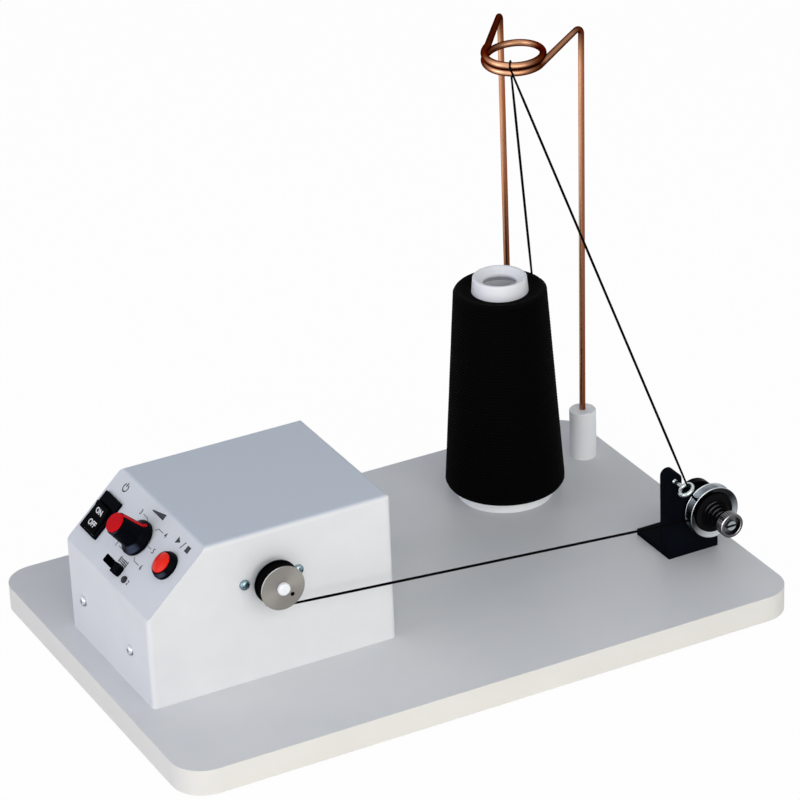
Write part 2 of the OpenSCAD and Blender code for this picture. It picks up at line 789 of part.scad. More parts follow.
// Circuit board, its parts and the power inlet
pcb_l = 74;
pcb_w = 60;
pcb_t = 1.6;
pcb_lift = 6;
pcb_x = box_x0 + box_l - wall - cleat_t - 6 - pcb_l / 2;
pcb_y = box_y + 12;
spacer_in = 5;
spacer_spots = [for (x = [-1, 1], y = [-1, 1])
    [pcb_x + x * (pcb_l / 2 - spacer_in), pcb_y + y * (pcb_w / 2 - spacer_in)]];
spacer_dia = 7;
capacitor_dia = 13;
capacitor_h = 20;
relay_l = 15;
relay_w = 16;
relay_h = 14;
terminal_l = 10;
terminal_w = 34;
terminal_h = 10;
chip_l = 24;
chip_w = 9;
chip_h = 4;
resistor_l = 3;
resistor_w = 6;
resistor_h = 2.2;
resistor_pitch = 5;
inlet_x = box_x0 + box_l - 40;
inlet_z = 56;
inlet_dia = 11;

module circuit_board() {
    color("darkgreen") difference() {
        translate([pcb_x, pcb_y, deck + pcb_lift]) block(pcb_l, pcb_w, pcb_t, 2);
        for (p = spacer_spots)
            translate([p[0], p[1], deck + pcb_lift - eps]) cylinder(d = 3.2, h = pcb_t + 2 * eps);
    }
}

module board_spacers() {
    color("ivory") for (p = spacer_spots) translate([p[0], p[1], deck]) {
        cylinder(d = spacer_dia, h = pcb_lift);
        cylinder(d = 3.2 - 2 * fit, h = pcb_lift + pcb_t + 1.4);
    }
}

module board_parts() {
    top = deck + pcb_lift + pcb_t;
    color("#26303c") {
        translate([pcb_x - pcb_l * 0.3, pcb_y + pcb_w * 0.27, top])
            cylinder(d = capacitor_dia, h = capacitor_h);
        translate([pcb_x - pcb_l * 0.05, pcb_y + pcb_w * 0.3, top]) block(relay_l, relay_w, relay_h, 0.8);
        translate([pcb_x + pcb_l * 0.3, pcb_y - pcb_w * 0.03, top])
            block(terminal_l, terminal_w, terminal_h, 0.6);
        translate([pcb_x - pcb_l * 0.14, pcb_y - pcb_w * 0.2, top]) block(chip_l, chip_w, chip_h, 0.4);
        for (i = [-2:2])
            translate([pcb_x - pcb_l * 0.24 + i * resistor_pitch, pcb_y - pcb_w * 0.4, top])
                block(resistor_l, resistor_w, resistor_h, 0.3);
    }
}

// Frame on the box's back wall: z runs out of the wall
module at_inlet() {
    translate([inlet_x, box_y1, deck + inlet_z]) rotate([-90, 0, 0]) children();
}

module power_inlet() {
    color("#1a1a1c") at_inlet() difference() {
        union() {
            cylinder(d = inlet_dia + 3, h = 2);
            translate([0, 0, -wall - 9]) cylinder(d = inlet_dia, h = wall + 9 + fit);
        }
        difference() {
            translate([0, 0, -8]) cylinder(d = 6.4, h = 12);
            translate([0, 0, -9]) cylinder(d = 2, h = 9.5);
        }
    }
}

module inlet_nut() {
    color("silver") at_inlet() translate([0, 0, -wall - 2.5]) difference() {
        cylinder(d = inlet_dia + 5, h = 2.5, $fn = 6);
        translate([0, 0, -eps]) cylinder(d = inlet_dia + 2 * fit, h = 3 + 2 * eps);
    }
}

// Motor, screwed to the inside of the box's front side
end_cap_t = 6;
bearing_r = 6;
bearing_t = 3;
tab_reach = 12;
tab_l = 8;

module motor_can() {
    color("silver") at_spindle() difference() {
        union() {
            translate([0, 0, -wall - motor_l]) rotate_extrude() polygon(rounded([
                [0, 0], [motor_dia / 2, 0], [motor_dia / 2, motor_l], [0, motor_l]
            ], [0, 0, 1.5, 0]));
            translate([0, 0, -wall - fit]) cylinder(d = motor_boss_dia, h = motor_boss_l + fit);
        }
        translate([0, 0, -wall - shaft_in - run_fit])
            cylinder(d = shaft_dia + 2 * run_fit, h = shaft_in + wall + eps + run_fit);
        for (x = [-1, 1]) translate([x * motor_screw_gap / 2, 0, -motor_screw_l - run_fit])
            cylinder(d = motor_screw_dia + 2 * fit, h = motor_screw_l);
    }
}

module motor_end_cap() {
    color("#222224") at_spindle() translate([0, 0, -wall - motor_l]) mirror([0, 0, 1]) {
        rotate_extrude() polygon(rounded([
            [0, 0], [motor_dia / 2 - 1.5, 0], [motor_dia / 2 - 1.5, end_cap_t], [bearing_r, end_cap_t],
            [bearing_r, end_cap_t + bearing_t], [0, end_cap_t + bearing_t]
        ], [0, 0, 1.5, 0, 0.8, 0]));
        for (x = [-1, 1]) translate([x * tab_reach, 0, end_cap_t - fit]) linear_extrude(tab_l)
            square([0.8, 4.8], center = true);
    }
}

module motor_screws() {
    color("lightsteelblue") at_spindle() for (x = [-1, 1]) translate([x * motor_screw_gap / 2, 0, 0])
        screw(motor_screw_head, 2.6, motor_screw_dia, motor_screw_l);
}

module motor_shaft() {
    color("lightgray") at_spindle()
        translate([0, 0, -wall - shaft_in]) cylinder(d = shaft_dia, h = wall + shaft_in + shaft_out);
}

// White hub that the bobbin is pushed onto
module spindle() {
    seat = bobbin_gap - seat_l;
    tip = bobbin_gap + bobbin_w + tip_l;
    color("white") at_spindle() difference() {
        rotate_extrude() polygon(rounded([
            [0, seat], [seat_dia / 2, seat], [seat_dia / 2, bobbin_gap],
            [bobbin_bore / 2 - fit, bobbin_gap], [bobbin_bore / 2 - fit, tip], [0, tip]
        ], [0, 0.5, 0.5, 0, 1.6, 0]));
        cylinder(d = shaft_dia + 2 * fit, h = shaft_out + fit);
    }
}

module bobbin() {
    r = bobbin_r;
    color("darkgray") at_spindle() translate([0, 0, bobbin_gap]) difference() {
        rotate_extrude() polygon([
            [bobbin_bore / 2, 0], [r, 0], [r, flange_t], [hub_dia / 2, flange_t],
            [hub_dia / 2, bobbin_w - flange_t], [r, bobbin_w - flange_t], [r, bobbin_w],
            [bobbin_bore / 2, bobbin_w]
        ]);
        rotate([0, 0, -43])
            translate([hub_dia / 2 + flange_hole / 2 + 1.2, 0, bobbin_w - flange_t - eps])
                cylinder(d = flange_hole, h = flange_t + 2 * eps);
    }
}

module bobbin_thread_core() {
    color("black") at_spindle() translate([0, 0, bobbin_gap + flange_t + fit])
        ring(2 * bobbin_core_r, hub_dia + 2 * fit, bobbin_w - 2 * flange_t - 2 * fit);
}

// Outer layer of the bobbin's thread, one unbroken helix on the core
bobbin_run = bobbin_w - 2 * flange_t - 2 * fit - bobbin_thread_dia - 0.2;
bobbin_wind_r = wound_r - bobbin_thread_dia / 2;
bobbin_wind_z = bobbin_gap + bobbin_w / 2 - bobbin_run / 2;
bobbin_turns = [for (i = [0:24 * bobbin_loops])
    let (p = bobbin_wind_r * turned(15 * i))
    [p[0], p[1], bobbin_wind_z + bobbin_run * i / (24 * bobbin_loops)]];
bobbin_path = with_ends(bobbin_turns, bobbin_thread_dia);
echo(str("bobbin thread, least gap to itself: ", least_gap(bobbin_path, 24, bobbin_thread_dia), " mm"));

module bobbin_thread() {
    color("black") at_spindle() tube_along(bobbin_path, bobbin_thread_dia, 6);
}

// Thread cone on its peg
peg_disc_t = 6;
cone_lift = 0.2;
mouth_low = tube_h - mouth_drop - 6;

module cone_peg() {
    disc_r = tube_r(peg_disc_t) - tube_wall - gap;
    color("white") at_cone() difference() {
        rotate_extrude() polygon(rounded([
            [0, 0], [disc_r, 0], [disc_r, peg_disc_t], [peg_dia / 2 + 3, peg_disc_t + 2],
            [peg_dia / 2, peg_disc_t + 8], [peg_dia / 2, peg_h], [0, peg_h]
        ], [0, 0, 0.6, 2, 2, 2, 0]));
        translate([0, 0, -eps]) cylinder(d = screw_dia + 2 * fit, h = base_screw_l - board_t + 1);
    }
}

module cone_tube() {
    color("white") at_cone() rotate_extrude() polygon(rounded([
        [tube_r(cone_lift), cone_lift], [tube_top_r, tube_h], [tube_top_r - 2, tube_h],
        [mouth_r, tube_h - mouth_drop], [mouth_r, tube_h - mouth_drop - 1.4],
        [tube_r(mouth_low) - tube_wall, mouth_low], [tube_r(cone_lift) - tube_wall, cone_lift]
    ], [0.4, 0.8, 0.8, 0.6, 0.4, 0, 0.4]));
}

module cone_thread_core() {
    low_r = wound_r_at(wound_low + 3) - core_inset;
    high_r = wound_r_at(wound_high) - core_inset;
    dip = wound_high - wound_dip;
    color("black") at_cone() rotate_extrude() polygon(rounded([
        [tube_r(wound_low) + fit, wound_low], [low_r - 2, wound_low], [low_r, wound_low + 3],
        [high_r, wound_high], [tube_r(dip) + 4, dip], [tube_r(dip) + fit, dip]
    ], [0, 1, 2, shoulder_r, 2, 0]));
}

// Outer layer of the cone's thread, one unbroken helix up the core
wind_low = wound_low + 5;
wind_high = wound_high - shoulder_r - 1;
cone_turns = [for (i = [0:24 * cone_loops])
    let (
        z = wind_low + (wind_high - wind_low) * i / (24 * cone_loops),
        p = (wound_r_at(z) - winding_dia / 2) * turned(15 * i + 12)
    )
    [p[0], p[1], z]];
cone_path = with_ends(cone_turns, winding_dia);
echo(str("cone thread, least gap to itself: ", least_gap(cone_path, 24, winding_dia), " mm"));

module cone_thread() {
    color("black") at_cone() tube_along(cone_path, winding_dia, 6);
}

// Mast: two posts and one copper wire bent into a coil of one and a half turns
module mast_post(spot) {
    color("white") translate([spot[0], spot[1], deck]) difference() {
        rotate_extrude() polygon(rounded(
            [[0, 0], [post_dia / 2, 0], [post_dia / 2, post_h], [0, post_h]], [0, 0.3, 0.8, 0]));
        translate([0, 0, post_h - wire_seat - fit]) cylinder(d = wire_dia + 2 * fit, h = wire_seat + eps);
        translate([0, 0, -eps]) cylinder(d = screw_dia + 2 * fit, h = base_screw_l - board_t + 1);
    }
}

module mast_post_left() {
    mast_post(post_left);
}

module mast_post_right() {
    mast_post(post_right);
}

across = unit(post_right - post_left);
coil_side = [across[1], -across[0]];
coil_middle = (post_left + post_right) / 2 + coil_reach * coil_side;
coil_top = deck + mast_h - coil_drop;
coil_steps = 36;

function coil_point(i) =
    let (
        turn = 540 * i / coil_steps,
        p = coil_middle - coil_r * cos(turn) * across + coil_r * sin(turn) * coil_side
    )
    [p[0], p[1], coil_top - coil_pitch * turn / 360 - coil_tilt * sin(turn)];

// Leg and bend at one top, from the post upwards, leaning over towards a point of the coil
function mast_leg(spot, lean, target) =
    let (
        top = spot + [lean, 0],
        way = [target[0] - top[0], target[1] - top[1]],
        dir = unit(way),
        bend_z = deck + mast_h - wire_dia / 2 - mast_bend_r,
        fall = 90 + atan((deck + mast_h - target[2]) / norm(way))
    )
    concat(
        [for (z = [post_h - wire_seat, post_h + 2]) [spot[0], spot[1], deck + z]],
        [for (i = [0:7])
            let (a = fall * i / 7, out = mast_bend_r * (1 - cos(a)))
            [top[0] + dir[0] * out, top[1] + dir[1] * out, bend_z + mast_bend_r * sin(a)]]
    );

function reversed(list) = [for (i = [len(list) - 1:-1:0]) list[i]];

mast_path = concat(
    mast_leg(post_left, 0, coil_point(0)),
    [for (i = [0:coil_steps]) coil_point(i)],
    reversed(mast_leg(post_right, mast_lean, coil_point(coil_steps)))
);

module thread_mast() {
    color("#b87345") tube_along(mast_path, wire_dia, 12);
}

// Tensioner
bracket_screw_head = 6.6;
bracket_screw_l = 14;
bracket_screw_spots = [for (x = [8, bracket_w - 8]) [bracket_x + x, bracket_y + foot_depth - 10]];

module tension_bracket() {
    color("#1c1e22") difference() {
        union() {
            translate([bracket_x, bracket_y + plate_t, deck]) rotate([90, 0, 0]) linear_extrude(plate_t)
                polygon(rounded([
                    [0, 0], [0, ear_h], [ear_w, ear_h], [ear_w, plate_h],
                    [bracket_w, plate_h], [bracket_w, 0]
                ], [0, ear_w / 2 - 0.05, ear_w / 2 - 0.05, 2, 5, 0]));
            translate([bracket_x, bracket_y + plate_t - fit, deck])
                cube([bracket_w, foot_depth - plate_t + fit, foot_t]);
        }
        at_tension() translate([0, 0, -plate_t - eps])
            cylinder(d = stud_dia + 2 * fit, h = plate_t + 2 * eps);
        translate([eye_x, bracket_y, deck + eye_z]) rotate([-90, 0, 0])
            translate([0, 0, -eps]) cylinder(d = eye_wire + 2 * fit, h = plate_t + 2 * eps);
        for (p = bracket_screw_spots) translate([p[0], p[1], deck - eps]) {
            cylinder(d = screw_dia + 2 * fit, h = foot_t + 2 * eps);
            translate([0, 0, eps + foot_t - (bracket_screw_head - screw_dia) / 2 - fit])
                cylinder(d1 = screw_dia + 2 * fit, d2 = bracket_screw_head + 4 * fit,
                         h = (bracket_screw_head - screw_dia) / 2 + 2 * fit);
        }
    }
}

module bracket_screws() {
    color("#2c2c2e") for (p = bracket_screw_spots) translate([p[0], p[1], deck + foot_t])
        flat_screw(bracket_screw_head, screw_dia, bracket_screw_l);
}

// Screw eye in the bracket's ear
module thread_eyelet() {
    color("gainsboro") translate([eye_x, bracket_y, deck + eye_z]) rotate([90, 0, 0]) {
        translate([0, 0, -plate_t + fit]) cylinder(d = eye_wire, h = plate_t + eye_reach - eye_r);
        cylinder(d1 = eye_wire + 1.2, d2 = eye_wire + 0.2, h = 1);
        translate([0, 0, eye_reach]) rotate([-90, 0, 0]) rotate([0, -eye_tilt, 0])
            rotate_extrude() translate([eye_r, 0]) circle(d = eye_wire, $fn = 32);
    }
}

module tension_stud() {
    low = -plate_t - bush_t;
    color("lightgray") at_tension() difference() {
        translate([0, 0, low + fit]) cylinder(d = stud_dia, h = stud_end - low - fit);
        translate([-stud_dia, -0.8, stud_end - 4]) cube([2 * stud_dia, 1.6, 4 + eps]);
    }
}

module tension_bush() {
    color("#151517") at_tension() translate([0, 0, -plate_t - bush_t]) difference() {
        rotate_extrude() polygon(rounded([
            [0, 0], [bush_dia / 2, 0], [bush_dia / 2, bush_t], [0, bush_t]
        ], [0, 0.8, 0, 0]));
        translate([0, 0, -eps]) cylinder(d = stud_dia + 2 * fit, h = bush_t + 2 * eps);
    }
}

module disc_spacer() {
    color("#303034") at_tension() ring(2 * disc_flat_r - 1, stud_dia + 2 * fit, spacer_t);
}

// A dished disc, flat in the middle, whose rim flares towards +Z
module dished_disc() {
    rim = disc_dia / 2;
    rotate_extrude() polygon(rounded([
        [stud_dia / 2 + run_fit, 0], [disc_flat_r, 0], [rim, disc_flare], [rim, disc_flare + disc_t],
        [disc_flat_r, disc_t], [stud_dia / 2 + run_fit, disc_t]
    ], [0, 5, disc_t * 0.4, disc_t * 0.4, 5, 0]));
}

module rear_disc() {
    color("#d5d8dc") at_tension() translate([0, 0, rear_disc_z + disc_t]) mirror([0, 0, 1]) dished_disc();
}

module front_disc() {
    color("#d5d8dc") at_tension() translate([0, 0, front_disc_z - disc_t]) dished_disc();
}

module pressure_pad() {
    slope = disc_flare / (disc_dia / 2 - disc_flat_r);
    edge = max(0, pad_dia / 2 - disc_flat_r) * slope + 0.3;
    color("#161618") at_tension() translate([0, 0, pad_z]) rotate_extrude() polygon([
        [stud_dia / 2 + run_fit, 0], [disc_flat_r - 0.4, 0], [pad_dia / 2, edge],
        [pad_dia / 2, edge + 0.6], [spring_r0 + spring_wire, pad_t],
        [stud_dia / 2 + run_fit, pad_t]
    ]);
}

// Cone spring: one unbroken wire, narrowing towards the nut, with straight ends
spring_steps = 8 * spring_curls;
spring_run = spring_l - spring_wire - 2 * fit;
spring_curl = [for (i = [0:spring_steps])
    let (t = i / spring_steps, a = 45 * i, r = spring_r0 + (spring_r1 - spring_r0) * t)
    [r * cos(a), r * sin(a), spring_z + fit + spring_wire / 2 + spring_run * t]];
spring_path = concat(
    [spring_curl[0] + [0, -spring_wire, 0]],
    spring_curl,
    [spring_curl[spring_steps] + [0, spring_wire, 0]]
);
echo(str("tension spring, least gap to itself: ", least_gap(spring_path, 8, spring_wire), " mm"));

module tension_spring() {
    color("#1a1a1d") at_tension() tube_along(spring_path, spring_wire, 6);
}

// Knurled nut with a collar towards the spring and a recess round the stud's end
module tension_nut() {
    knurls = 36;
    face = nut_collar_l + nut_l;
    color("#c9ccd1") at_tension() translate([0, 0, nut_z]) difference() {
        rotate_extrude() polygon(rounded([
            [stud_dia / 2 + run_fit, 0], [nut_collar_dia / 2, 0], [nut_collar_dia / 2, nut_collar_l],
            [nut_dia / 2, nut_collar_l], [nut_dia / 2, face], [nut_dia / 2 - 1.8, face],
            [nut_dia / 2 - 2.4, face - nut_recess], [stud_dia / 2 + run_fit, face - nut_recess]
        ], [0, 0.4, 0, 0.6, 0.6, 0.3, 0, 0]));
        for (i = [0:knurls - 1])
            rotate([0, 0, 360 * i / knurls]) translate([nut_dia / 2 + 0.25, 0, nut_collar_l + 0.9])
                cylinder(d = 1.1, h = nut_l - 1.8, $fn = 4);
    }
}

// Running thread: from the cone up through the coil, through the eye, round the stud, to the bobbin.
// Heights of the points are above the board.
cone_lay = [for (h = [wound_high - 16, wound_high - 6])
    let (p = [cone_x, cone_y] + (wound_r_at(h) + thread_dia / 2 + run_fit) * turned(19)) [p[0], p[1], h]];
// Over the coil's upper wire, from inside the coil to its outside
over_mid = coil_point(coil_steps * 112 / 540) - [0, 0, deck];
over_dir = unit([over_mid[0] - coil_middle[0], over_mid[1] - coil_middle[1], 0]);
over_r = ((wire_dia + thread_dia) / 2 + run_fit + coil_r * (1 - cos(270 / coil_steps))) / cos(18);
coil_lay = concat(
    [over_mid - over_r * over_dir - [0, 0, coil_pitch + 1]],
    [for (a = [180:-36:0]) over_mid + over_r * (cos(a) * over_dir + [0, 0, sin(a)])]
);
eye_mid = [eye_x, bracket_y - eye_reach, eye_z];
eye_lay = [for (q = [[1.4, 0.8, 2], [2, 0.4, -0.8], [5.2, 2.6, -5.5]]) eye_mid + q];
function between_points(a, b, shares) = [for (t = shares) a * (1 - t) + b * t];
thread_points = concat(
    cone_lay,
    between_points(cone_lay[1], coil_lay[0], [0.2, 0.6]),
    coil_lay,
    between_points(coil_lay[len(coil_lay) - 1], eye_lay[0], [0.23, 0.56, 0.9]),
    eye_lay,
    [[tension_x - 11.4, thread_y - 0.2, tension_z + 10.6]]
);
wrap_r = stud_dia / 2 + run_fit + thread_dia / 2;
tension_mid = [tension_x, tension_z];
bobbin_mid = [spindle_x, spindle_z];
bobbin_wrap_r = wound_r + gap + thread_dia / 2;
bobbin_mid_y = box_y0 - bobbin_gap - bobbin_w / 2;
between = bobbin_mid - tension_mid;
thread_rise = atan2(between[1], -between[0]) - asin((bobbin_wrap_r - wrap_r) / norm(between));
thread_off = -90 - thread_rise;

function stud_wrap(a) =
    let (p = tension_mid + wrap_r * turned(a)) [p[0], thread_y, p[1]];
function bobbin_wrap(a) =
    let (p = bobbin_mid + bobbin_wrap_r * turned(a)) [p[0], bobbin_mid_y, p[1]];

thread_path = [for (p = concat(
    thread_points,
    [for (a = [75:-24:thread_off + 6]) stud_wrap(a)],
    [stud_wrap(thread_off)],
    between_points(stud_wrap(thread_off), bobbin_wrap(thread_off), [0.25, 0.5, 0.75]),
    [for (a = [thread_off:-12:thread_off - 36]) bobbin_wrap(a)]
)) p + [0, 0, deck]];

module running_thread() {
    color("black") tube_along(thread_path, thread_dia, 8);
}

base_board();
rubber_feet();
base_screws();
control_housing();
housing_cleats();
housing_screws();
rocker_body();
rocker_paddle();
speed_knob();
knob_cap();
potentiometer();
pot_nut();
pot_shaft();
start_button_body();
start_button_nut();
start_button_cap();
fill_switch_body();
fill_switch_slider();
fill_lamp();
circuit_board();
board_spacers();
board_parts();
power_inlet();
inlet_nut();
motor_can();
motor_end_cap();
motor_screws();
motor_shaft();
spindle();
bobbin();
bobbin_thread_core();
bobbin_thread();
cone_peg();
cone_tube();
cone_thread_core();
cone_thread();
mast_post_left();
mast_post_right();
thread_mast();
tension_bracket();
bracket_screws();
thread_eyelet();
tension_stud();
tension_bush();
disc_spacer();
rear_disc();
front_disc();
pressure_pad();
tension_spring();
tension_nut();
running_thread();
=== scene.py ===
import math

import bmesh
import bpy
from mathutils import Matrix, Vector


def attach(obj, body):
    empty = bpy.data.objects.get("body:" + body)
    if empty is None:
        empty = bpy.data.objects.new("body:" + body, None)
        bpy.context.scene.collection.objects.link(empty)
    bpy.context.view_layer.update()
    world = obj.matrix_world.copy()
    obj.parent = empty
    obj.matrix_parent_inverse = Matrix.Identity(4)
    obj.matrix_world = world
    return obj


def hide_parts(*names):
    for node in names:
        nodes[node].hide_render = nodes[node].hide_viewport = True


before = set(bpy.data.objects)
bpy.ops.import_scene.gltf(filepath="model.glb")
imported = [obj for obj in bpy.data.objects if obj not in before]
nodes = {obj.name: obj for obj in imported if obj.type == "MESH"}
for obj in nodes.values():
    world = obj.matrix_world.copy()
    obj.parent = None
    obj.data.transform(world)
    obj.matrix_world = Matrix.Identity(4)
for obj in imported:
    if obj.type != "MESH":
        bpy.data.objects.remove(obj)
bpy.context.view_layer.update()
mm = 0.001              # pieces are measured in mm and degrees, upwards from the deck
deck = 19 * mm          # top of the board
print("frame loaded with", len(nodes), "nodes")


# camera at the photograph's angle, in metres and degrees
shot = {"place": (-0.886, -1.7645, 1.1339), "lens": 170.18, "sensor": 36.0, "clip": (0.05, 50),
        "yaw": 26.91, "pitch": 26.71, "roll": -2.40}


def makeCamera(s):
    yaw, pitch, roll = (math.radians(s[k]) for k in ("yaw", "pitch", "roll"))
    ahead = Vector((math.sin(yaw) * math.cos(pitch), math.cos(yaw) * math.cos(pitch), -math.sin(pitch)))
    right = Vector((math.cos(yaw), -math.sin(yaw), 0))
    up = right.cross(ahead)
    x = math.cos(roll) * right + math.sin(roll) * up
    y = math.cos(roll) * up - math.sin(roll) * right
    data = bpy.data.cameras.new("photoCamera")
    data.lens, data.sensor_width = s["lens"], s["sensor"]
    data.clip_start, data.clip_end = s["clip"]
    cam = bpy.data.objects.new("photoCamera", data)
    cam.matrix_world = Matrix((x, y, -ahead)).transposed().to_4x4()
    cam.location = s["place"]
    bpy.context.scene.collection.objects.link(cam)
    bpy.context.scene.camera = cam


makeCamera(shot)


# sockets are linked to a node's inputs, and other values are set on them
def feed(tree, node, inputs):
    for key, value in inputs.items():
        if isinstance(value, bpy.types.NodeSocket):
            tree.links.new(value, node.inputs[key])
        else:
            node.inputs[key].default_value = value
    return node


def addNode(tree, kind, inputs={}, **settings):
    node = tree.nodes.new("ShaderNode" + kind)
    for label, value in settings.items():
        setattr(node, label, value)
    return feed(tree, node, inputs)


def mathNode(tree, op, *values):
    return addNode(tree, "Math", dict(enumerate(values)), operation=op).outputs[0]


# 1 for a ray that sees the background straight, in a mirror or through glass
def seenDirectly(tree):
    path = addNode(tree, "LightPath").outputs
    straight = mathNode(tree, "MAXIMUM", path["Is Camera Ray"], path["Is Glossy Ray"])
    return mathNode(tree, "MAXIMUM", straight, path["Is Transmission Ray"])


# the soft shader lights the object, and rays see the white one as far as share says
def splitRays(tree, output, soft, white, share):
    mix = addNode(tree, "MixShader", {0: share, 1: soft.outputs[0], 2: white.outputs[0]})
    addNode(tree, output, {"Surface": mix.outputs[0]})


# soft studio light: strongest from the front, weaker from the left, least from above
studio = {
    "world": 0.34, "worldTint": (0.90, 0.95, 1.02), "aim": (0, 0, 0.1),
    "lamps": [
        {"name": "frontSoftbox", "place": (-0.15, -1.05, 0.46), "size": 1.2, "watts": 9.0, "tint": (1.0, 0.98, 0.93)},
        {"name": "leftSoftbox", "place": (-2.2, 0.0, 0.8), "size": 1.4, "watts": 16.8, "tint": (0.874, 0.869, 1.0)},
        {"name": "topSoftbox", "place": (0.3, 0.4, 2.6), "size": 1.6, "watts": 2, "tint": (0.92, 0.96, 1.0)},
    ],
    "floor": 7.0, "floorTone": (0.85, 0.85, 0.85), "floorGlow": 0.975,      # white that is seen there
}


def lightStudio(s):
    for lamp in s["lamps"]:
        data = bpy.data.lights.new(lamp["name"], "AREA")
        data.energy, data.size, data.color = lamp["watts"], lamp["size"], lamp["tint"]
        o = bpy.data.objects.new(lamp["name"], data)
        o.location = lamp["place"]
        o.rotation_mode = "QUATERNION"
        o.rotation_quaternion = (Vector(s["aim"]) - o.location).to_track_quat("-Z", "Y")
        bpy.context.scene.collection.objects.link(o)
    world = bpy.data.worlds.new("paleRoom")
    bpy.context.scene.world = world
    world.use_nodes = True
    tree = world.node_tree
    tree.nodes.clear()
    soft = addNode(tree, "Background", {"Color": (*s["worldTint"], 1), "Strength": s["world"]})
    white = addNode(tree, "Background", {"Color": (1, 1, 1, 1)})
    splitRays(tree, "OutputWorld", soft, white, seenDirectly(tree))
    bpy.context.scene.view_settings.view_transform = "Standard"


def layFloor(s):
    bm = bmesh.new()
    bmesh.ops.create_grid(bm, x_segments=1, y_segments=1, size=s["floor"])
    mesh = bpy.data.meshes.new("paleFloor")
    bm.to_mesh(mesh)
    bm.free()
    o = bpy.data.objects.new("paleFloor", mesh)
    bpy.context.scene.collection.objects.link(o)
    mat = bpy.data.materials.new("paleFloor")
    mat.use_nodes = True
    tree = mat.node_tree
    tree.nodes.clear()
    matte = addNode(tree, "BsdfDiffuse", {"Color": (*s["floorTone"], 1)})
    share = mathNode(tree, "MULTIPLY", seenDirectly(tree), s["floorGlow"])
    splitRays(tree, "OutputMaterial", matte, addNode(tree, "Emission"), share)
    mesh.materials.append(mat)


lightStudio(studio)
layFloor(studio)
print("camera, light and floor ready")


# shader node groups shared by the finishes, with numbers or vectors in and numbers out
def startGroup(name, ins, *outs):
    tree = bpy.data.node_groups.new(name, "ShaderNodeTree")
    for label, value in ins.items():
        kind = "NodeSocketVector" if isinstance(value, tuple) else "NodeSocketFloat"
        tree.interface.new_socket(label, in_out="INPUT", socket_type=kind).default_value = value
    for label in outs:
        tree.interface.new_socket(label, in_out="OUTPUT", socket_type="NodeSocketFloat")
    return tree, tree.nodes.new("NodeGroupInput").outputs, tree.nodes.new("NodeGroupOutput")


# fine moulding grain and broad tone drift, by size in grains per metre
def makeGrainGroup():
    tree, given, out = startGroup("mouldGrain", {"Grains": 900.0}, "Fine", "Broad")
    where = addNode(tree, "TexCoord").outputs["Object"]
    patches = mathNode(tree, "MULTIPLY", given["Grains"], 0.03)       # a patch is some 30 grains wide
    fine = addNode(tree, "TexNoise", {"Vector": where, "Scale": given["Grains"], "Detail": 3})
    broad = addNode(tree, "TexNoise", {"Vector": where, "Scale": patches, "Detail": 4})
    feed(tree, out, {"Fine": fine.outputs[0], "Broad": broad.outputs[0]})
    return tree


# rings left by turning, round an axis along Y through Centre
def makeRingGroup():
    tree, given, out = startGroup("latheRings", {"Centre": (0, 0, 0), "Rings": 3000.0}, "Height")
    where = addNode(tree, "TexCoord").outputs["Object"]
    off = addNode(tree, "VectorMath", {0: where, 1: given["Centre"]}, operation="SUBTRACT").outputs[0]
    flat = addNode(tree, "VectorMath", {0: off, 1: (1, 0, 1)}, operation="MULTIPLY").outputs[0]
    radius = addNode(tree, "VectorMath", {0: flat}, operation="LENGTH").outputs["Value"]
    count = mathNode(tree, "MULTIPLY", radius, given["Rings"])
    drift = addNode(tree, "TexNoise", {"W": count, "Scale": 1, "Detail": 5}, noise_dimensions="1D")
    feed(tree, out, {"Height": drift.outputs[0]})
    return tree


# twisted plies along a thread's UV map
def makeTwistGroup():
    tree, given, out = startGroup("threadTwist", {"Plies": 3.0, "Lay": 500.0}, "Height", "Fuzz")
    where = addNode(tree, "TexCoord").outputs
    split = addNode(tree, "SeparateXYZ", {0: where["UV"]}).outputs
    turn = mathNode(tree, "MULTIPLY", split["X"], given["Plies"])
    run = mathNode(tree, "MULTIPLY", split["Y"], given["Lay"])
    wave = mathNode(tree, "SINE", mathNode(tree, "MULTIPLY", mathNode(tree, "ADD", turn, run), 2 * math.pi))
    height = mathNode(tree, "MULTIPLY_ADD", wave, 0.5, 0.5)        # from 0 to 1
    fuzz = addNode(tree, "TexNoise", {"Vector": where["Object"], "Scale": 5200, "Detail": 2})      # fibres per metre
    feed(tree, out, {"Height": height, "Fuzz": fuzz.outputs[0]})
    return tree


# how far a surface faces the bright side of the room, 0 to 1: the mask for painted light and painted shade in base
# colours
def makePaintedLightGroup():
    tree, given, out = startGroup("paintedLightSide", {"Bright Side": (-0.55, -0.3, 0.78), "From": -0.5, "To": 0.85}, "Share")
    normal = addNode(tree, "NewGeometry").outputs["Normal"]
    along = addNode(tree, "VectorMath", {0: normal, 1: given["Bright Side"]}, operation="DOT_PRODUCT")
    span = {"Value": along.outputs["Value"], "From Min": given["From"], "From Max": given["To"]}
    feed(tree, out, {"Share": addNode(tree, "MapRange", span, interpolation_type="SMOOTHSTEP").outputs[0]})
    return tree


grainGroup = makeGrainGroup()
paintedLightGroup = makePaintedLightGroup()
ringGroup = makeRingGroup()
twistGroup = makeTwistGroup()


def startFinish(name, **plain):
    mat = bpy.data.materials.new(name)
    mat.use_nodes = True
    tree = mat.node_tree
    shader = tree.nodes["Principled BSDF"]
    return mat, tree, feed(tree, shader, {label.replace("_", " "): value for label, value in plain.items()})


def placeGroup(tree, group, **values):
    return addNode(tree, "Group", values, node_tree=group).outputs


# 6 and 7 are the Mix node's colours, and 2 is what they make
def mixColour(tree, share, a, b):
    a, b = ((*v, 1) if isinstance(v, tuple) else v for v in (a, b))
    return addNode(tree, "Mix", {0: share, 6: a, 7: b}, data_type="RGBA").outputs[2]


